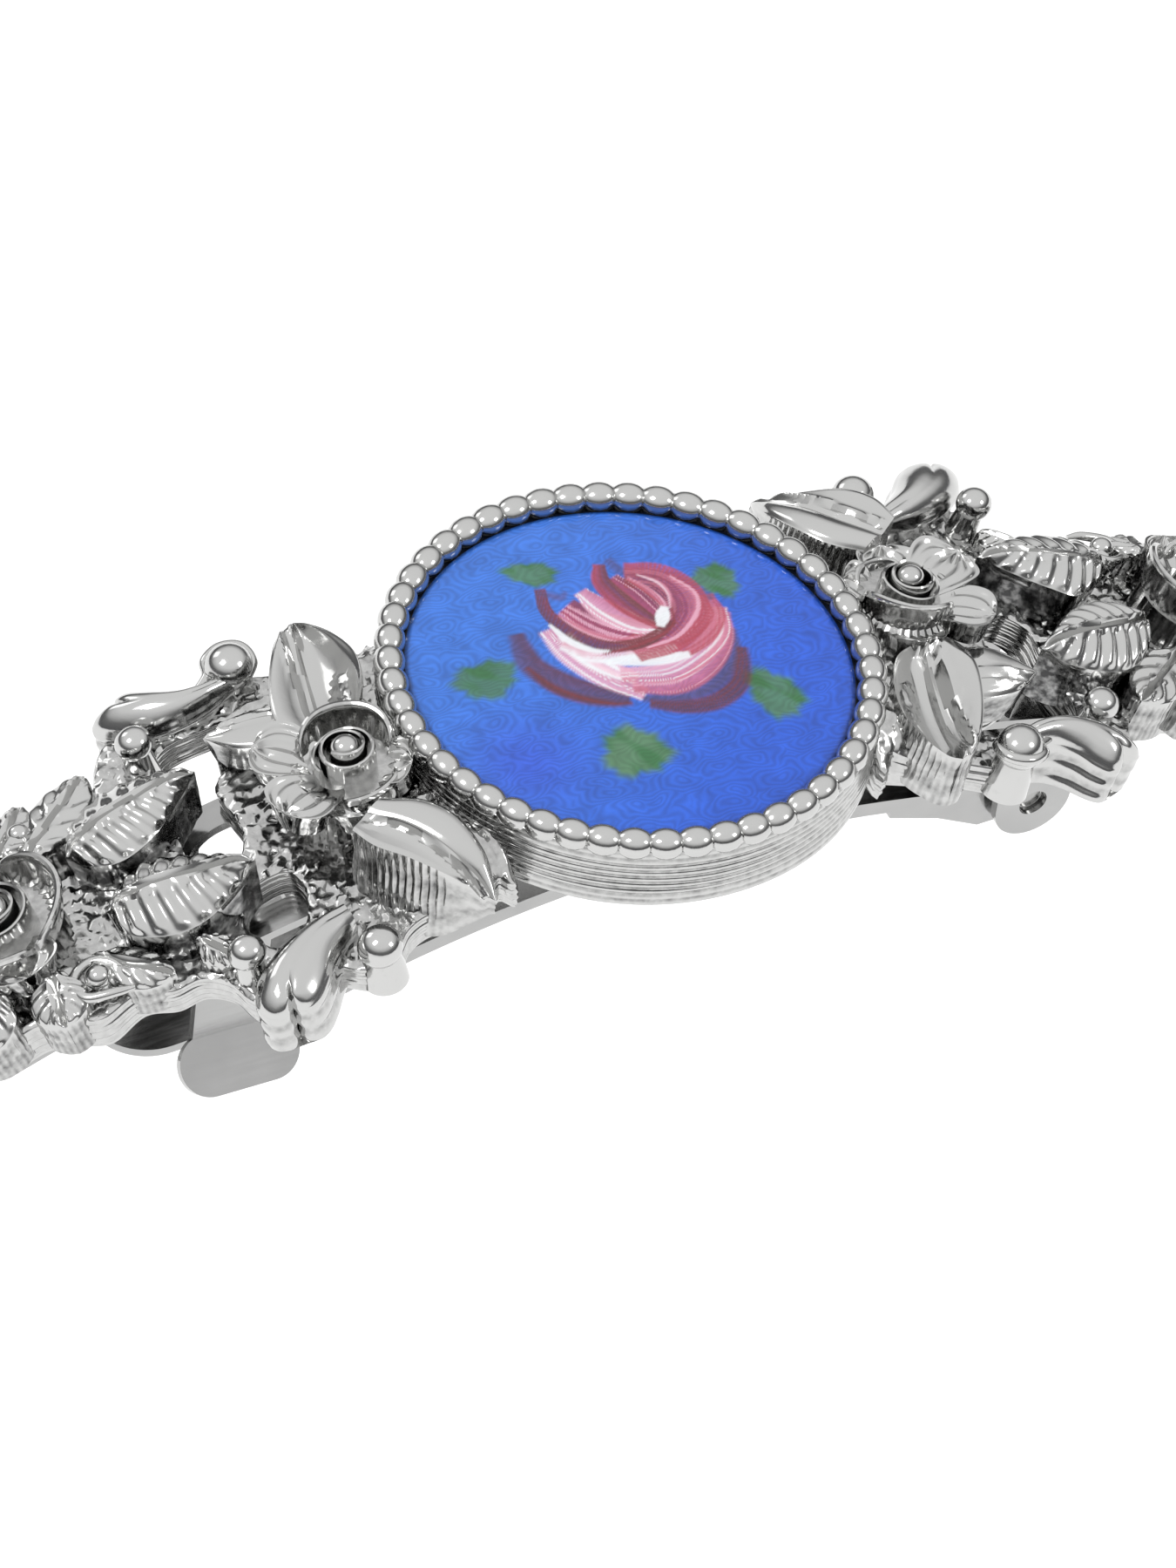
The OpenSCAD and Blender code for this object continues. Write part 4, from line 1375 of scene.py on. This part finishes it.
@dataclass(frozen=True)
class Studio:
    """The camera, the pale floor and the soft lights."""

    azimuth: float = -31.68
    elevation: float = 45.79
    roll: float = 8.26
    distance: float = 371.23
    lens: float = 171.3
    aim: tuple[float, float, float] = (-3.42, -3.09, 11.69)
    drop: float = 56.0

    def camera(self) -> None:
        """Sets up the camera, whose sensor's long side is upright."""
        a, e, r = (math.radians(v) for v in (self.azimuth, self.elevation, self.roll))
        back = Vector((math.sin(a) * math.cos(e), -math.cos(a) * math.cos(e), math.sin(e)))
        level = Vector((math.cos(a), math.sin(a), 0))
        upright = back.cross(level)
        right = math.cos(r) * level + math.sin(r) * upright
        up = back.cross(right)
        data = bpy.data.cameras.new("studio_camera")
        data.sensor_fit = "VERTICAL"
        data.sensor_height = 36.0
        data.lens = self.lens
        data.clip_start = 0.01
        data.clip_end = 10.0
        camera = bpy.data.objects.new("studio_camera", data)
        place = (Vector(self.aim) + back * self.distance) * MM
        turn = Matrix((right, up, back)).transposed().to_4x4()
        camera.matrix_world = Matrix.Translation(place) @ turn
        bpy.context.scene.collection.objects.link(camera)
        bpy.context.scene.camera = camera

    def floor(self) -> None:
        """Lays a pale floor so far below the barrette that the opened arm hangs clear of it."""
        mesh = bpy.data.meshes.new("floor")
        half = 1.5
        low = -self.drop * MM
        corners = [(-half, -half, low), (half, -half, low), (half, half, low), (-half, half, low)]
        mesh.from_pydata(corners, [], [(0, 1, 2, 3)])
        obj = bpy.data.objects.new("floor", mesh)
        bpy.context.scene.collection.objects.link(obj)
        m = new_material("pale_studio_floor")
        shader = add_node(m, "ShaderNodeBsdfPrincipled",
                          {"Base Color": srgb("F8F8F8"), "Roughness": 0.9,
                           "Emission Color": srgb("FFFFFF"), "Emission Strength": 0.22})
        dress(obj, finish_material(m, shader))

    def light(self, name: str, place: Sequence[float], size: float, power: float) -> None:
        """Adds a square soft light that faces the barrette.

        Args:
            name: the light's name.
            place: its place in metres.
            size: its side in metres.
            power: in watts.
        """
        data = bpy.data.lights.new(name, "AREA")
        data.size = size
        data.energy = power
        obj = bpy.data.objects.new(name, data)
        obj.location = place
        obj.rotation_euler = Vector(place).to_track_quat("Z", "Y").to_euler()
        bpy.context.scene.collection.objects.link(obj)

    def lights(self) -> None:
        """Sets the soft lights and a world that is dark near the horizon and bright overhead."""
        self.light("key_light", (-0.42, -0.1, 0.62), 0.22, 1.2)
        self.light("fill_light", (0.5, -0.5, 0.5), 0.22, 1.0)
        self.light("back_light", (-0.35, 0.62, 0.4), 0.3, 0.4)
        world = bpy.data.worlds.new("studio")
        bpy.context.scene.world = world
        world.use_nodes = True
        nodes, link = world.node_tree.nodes, world.node_tree.links.new
        nodes.clear()
        place = nodes.new("ShaderNodeTexCoord")
        split = nodes.new("ShaderNodeSeparateXYZ")
        ramp = nodes.new("ShaderNodeValToRGB")
        back = nodes.new("ShaderNodeBackground")
        out = nodes.new("ShaderNodeOutputWorld")
        stops = ramp.color_ramp.elements
        stops[0].position, stops[0].color = 0.0, (0.1, 0.1, 0.105, 1)
        stops[1].position, stops[1].color = 1.0, (1.0, 1.0, 1.0, 1)
        for position, value in ((0.22, 0.2), (0.38, 0.64), (0.6, 0.95)):
            stops.new(position).color = (value, value, value, 1)
        back.inputs["Strength"].default_value = 1.06
        link(place.outputs["Generated"], split.inputs[0])
        link(split.outputs["Z"], ramp.inputs[0])
        link(ramp.outputs[0], back.inputs[0])
        link(back.outputs[0], out.inputs[0])
        bpy.context.scene.view_settings.view_transform = "Standard"


# ---------------------------------------------------------------- assembly


def settle(obj: bpy.types.Object, body: str, nodes: Sequence[str] = ()) -> None:
    """Makes a finished piece ride on its body and stand for its CAD nodes.

    Args:
        obj: the piece.
        body: the body that it rides on.
        nodes: the CAD nodes that it replaces.
    """
    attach(obj, body)
    if nodes:
        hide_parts(*nodes)
    LOG.info("%s: %d faces on %s", obj.name, len(obj.data.polygons), body)


def main() -> None:
    """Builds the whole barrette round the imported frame."""
    logging.basicConfig(level=logging.INFO)
    studio = Studio()
    studio.camera()
    studio.floor()
    studio.lights()
    plate = RhodiumPlate().build()
    steel = SpringSteel().build()
    enamel_top = float(cad_box("enamel_glass")[1][2])
    enamel_r = float(cad_box("enamel_glass")[1][0])
    arch = Arch()
    bezel = Bezel(enamel_top)
    casting = ["ornament_casting"]
    for name, turned in (("catch_side", True), ("hinge_side", False)):
        for part in FloralArm(name, turned, arch, bezel.wall_r).build():
            dress(part, plate)
            settle(part, ROOT_BODY, casting)
    cup = bezel.wall()
    dress(cup, plate)
    settle(cup, ROOT_BODY, casting)
    beads = bezel.beads(plate)
    settle(beads, ROOT_BODY, casting)
    disc = EnamelDisc(enamel_r, enamel_top).build()
    dress(disc, GuillocheEnamel().build())
    settle(disc, ROOT_BODY, ["enamel_glass"])
    dress(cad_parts["setting_cement"], SettingCement().build())
    for node in ("clip_base", "clasp_arm", "tension_bar"):
        dress(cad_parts[node], steel)
    silver = SpringSteel("engine_turned_fine_silver", "DCDCD8", "C6C6C2", 0.14, 0.18)
    dress(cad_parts["guilloche_disc"], silver.build())
    pin = HingePin().build()
    dress(pin, SpringSteel("polished_pin_wire", "B0B0AE", "8C8C8C", 0.14, 0.2).build())
    settle(pin, ROOT_BODY, ["hinge_pin"])


if __name__ == "__main__":
    main()
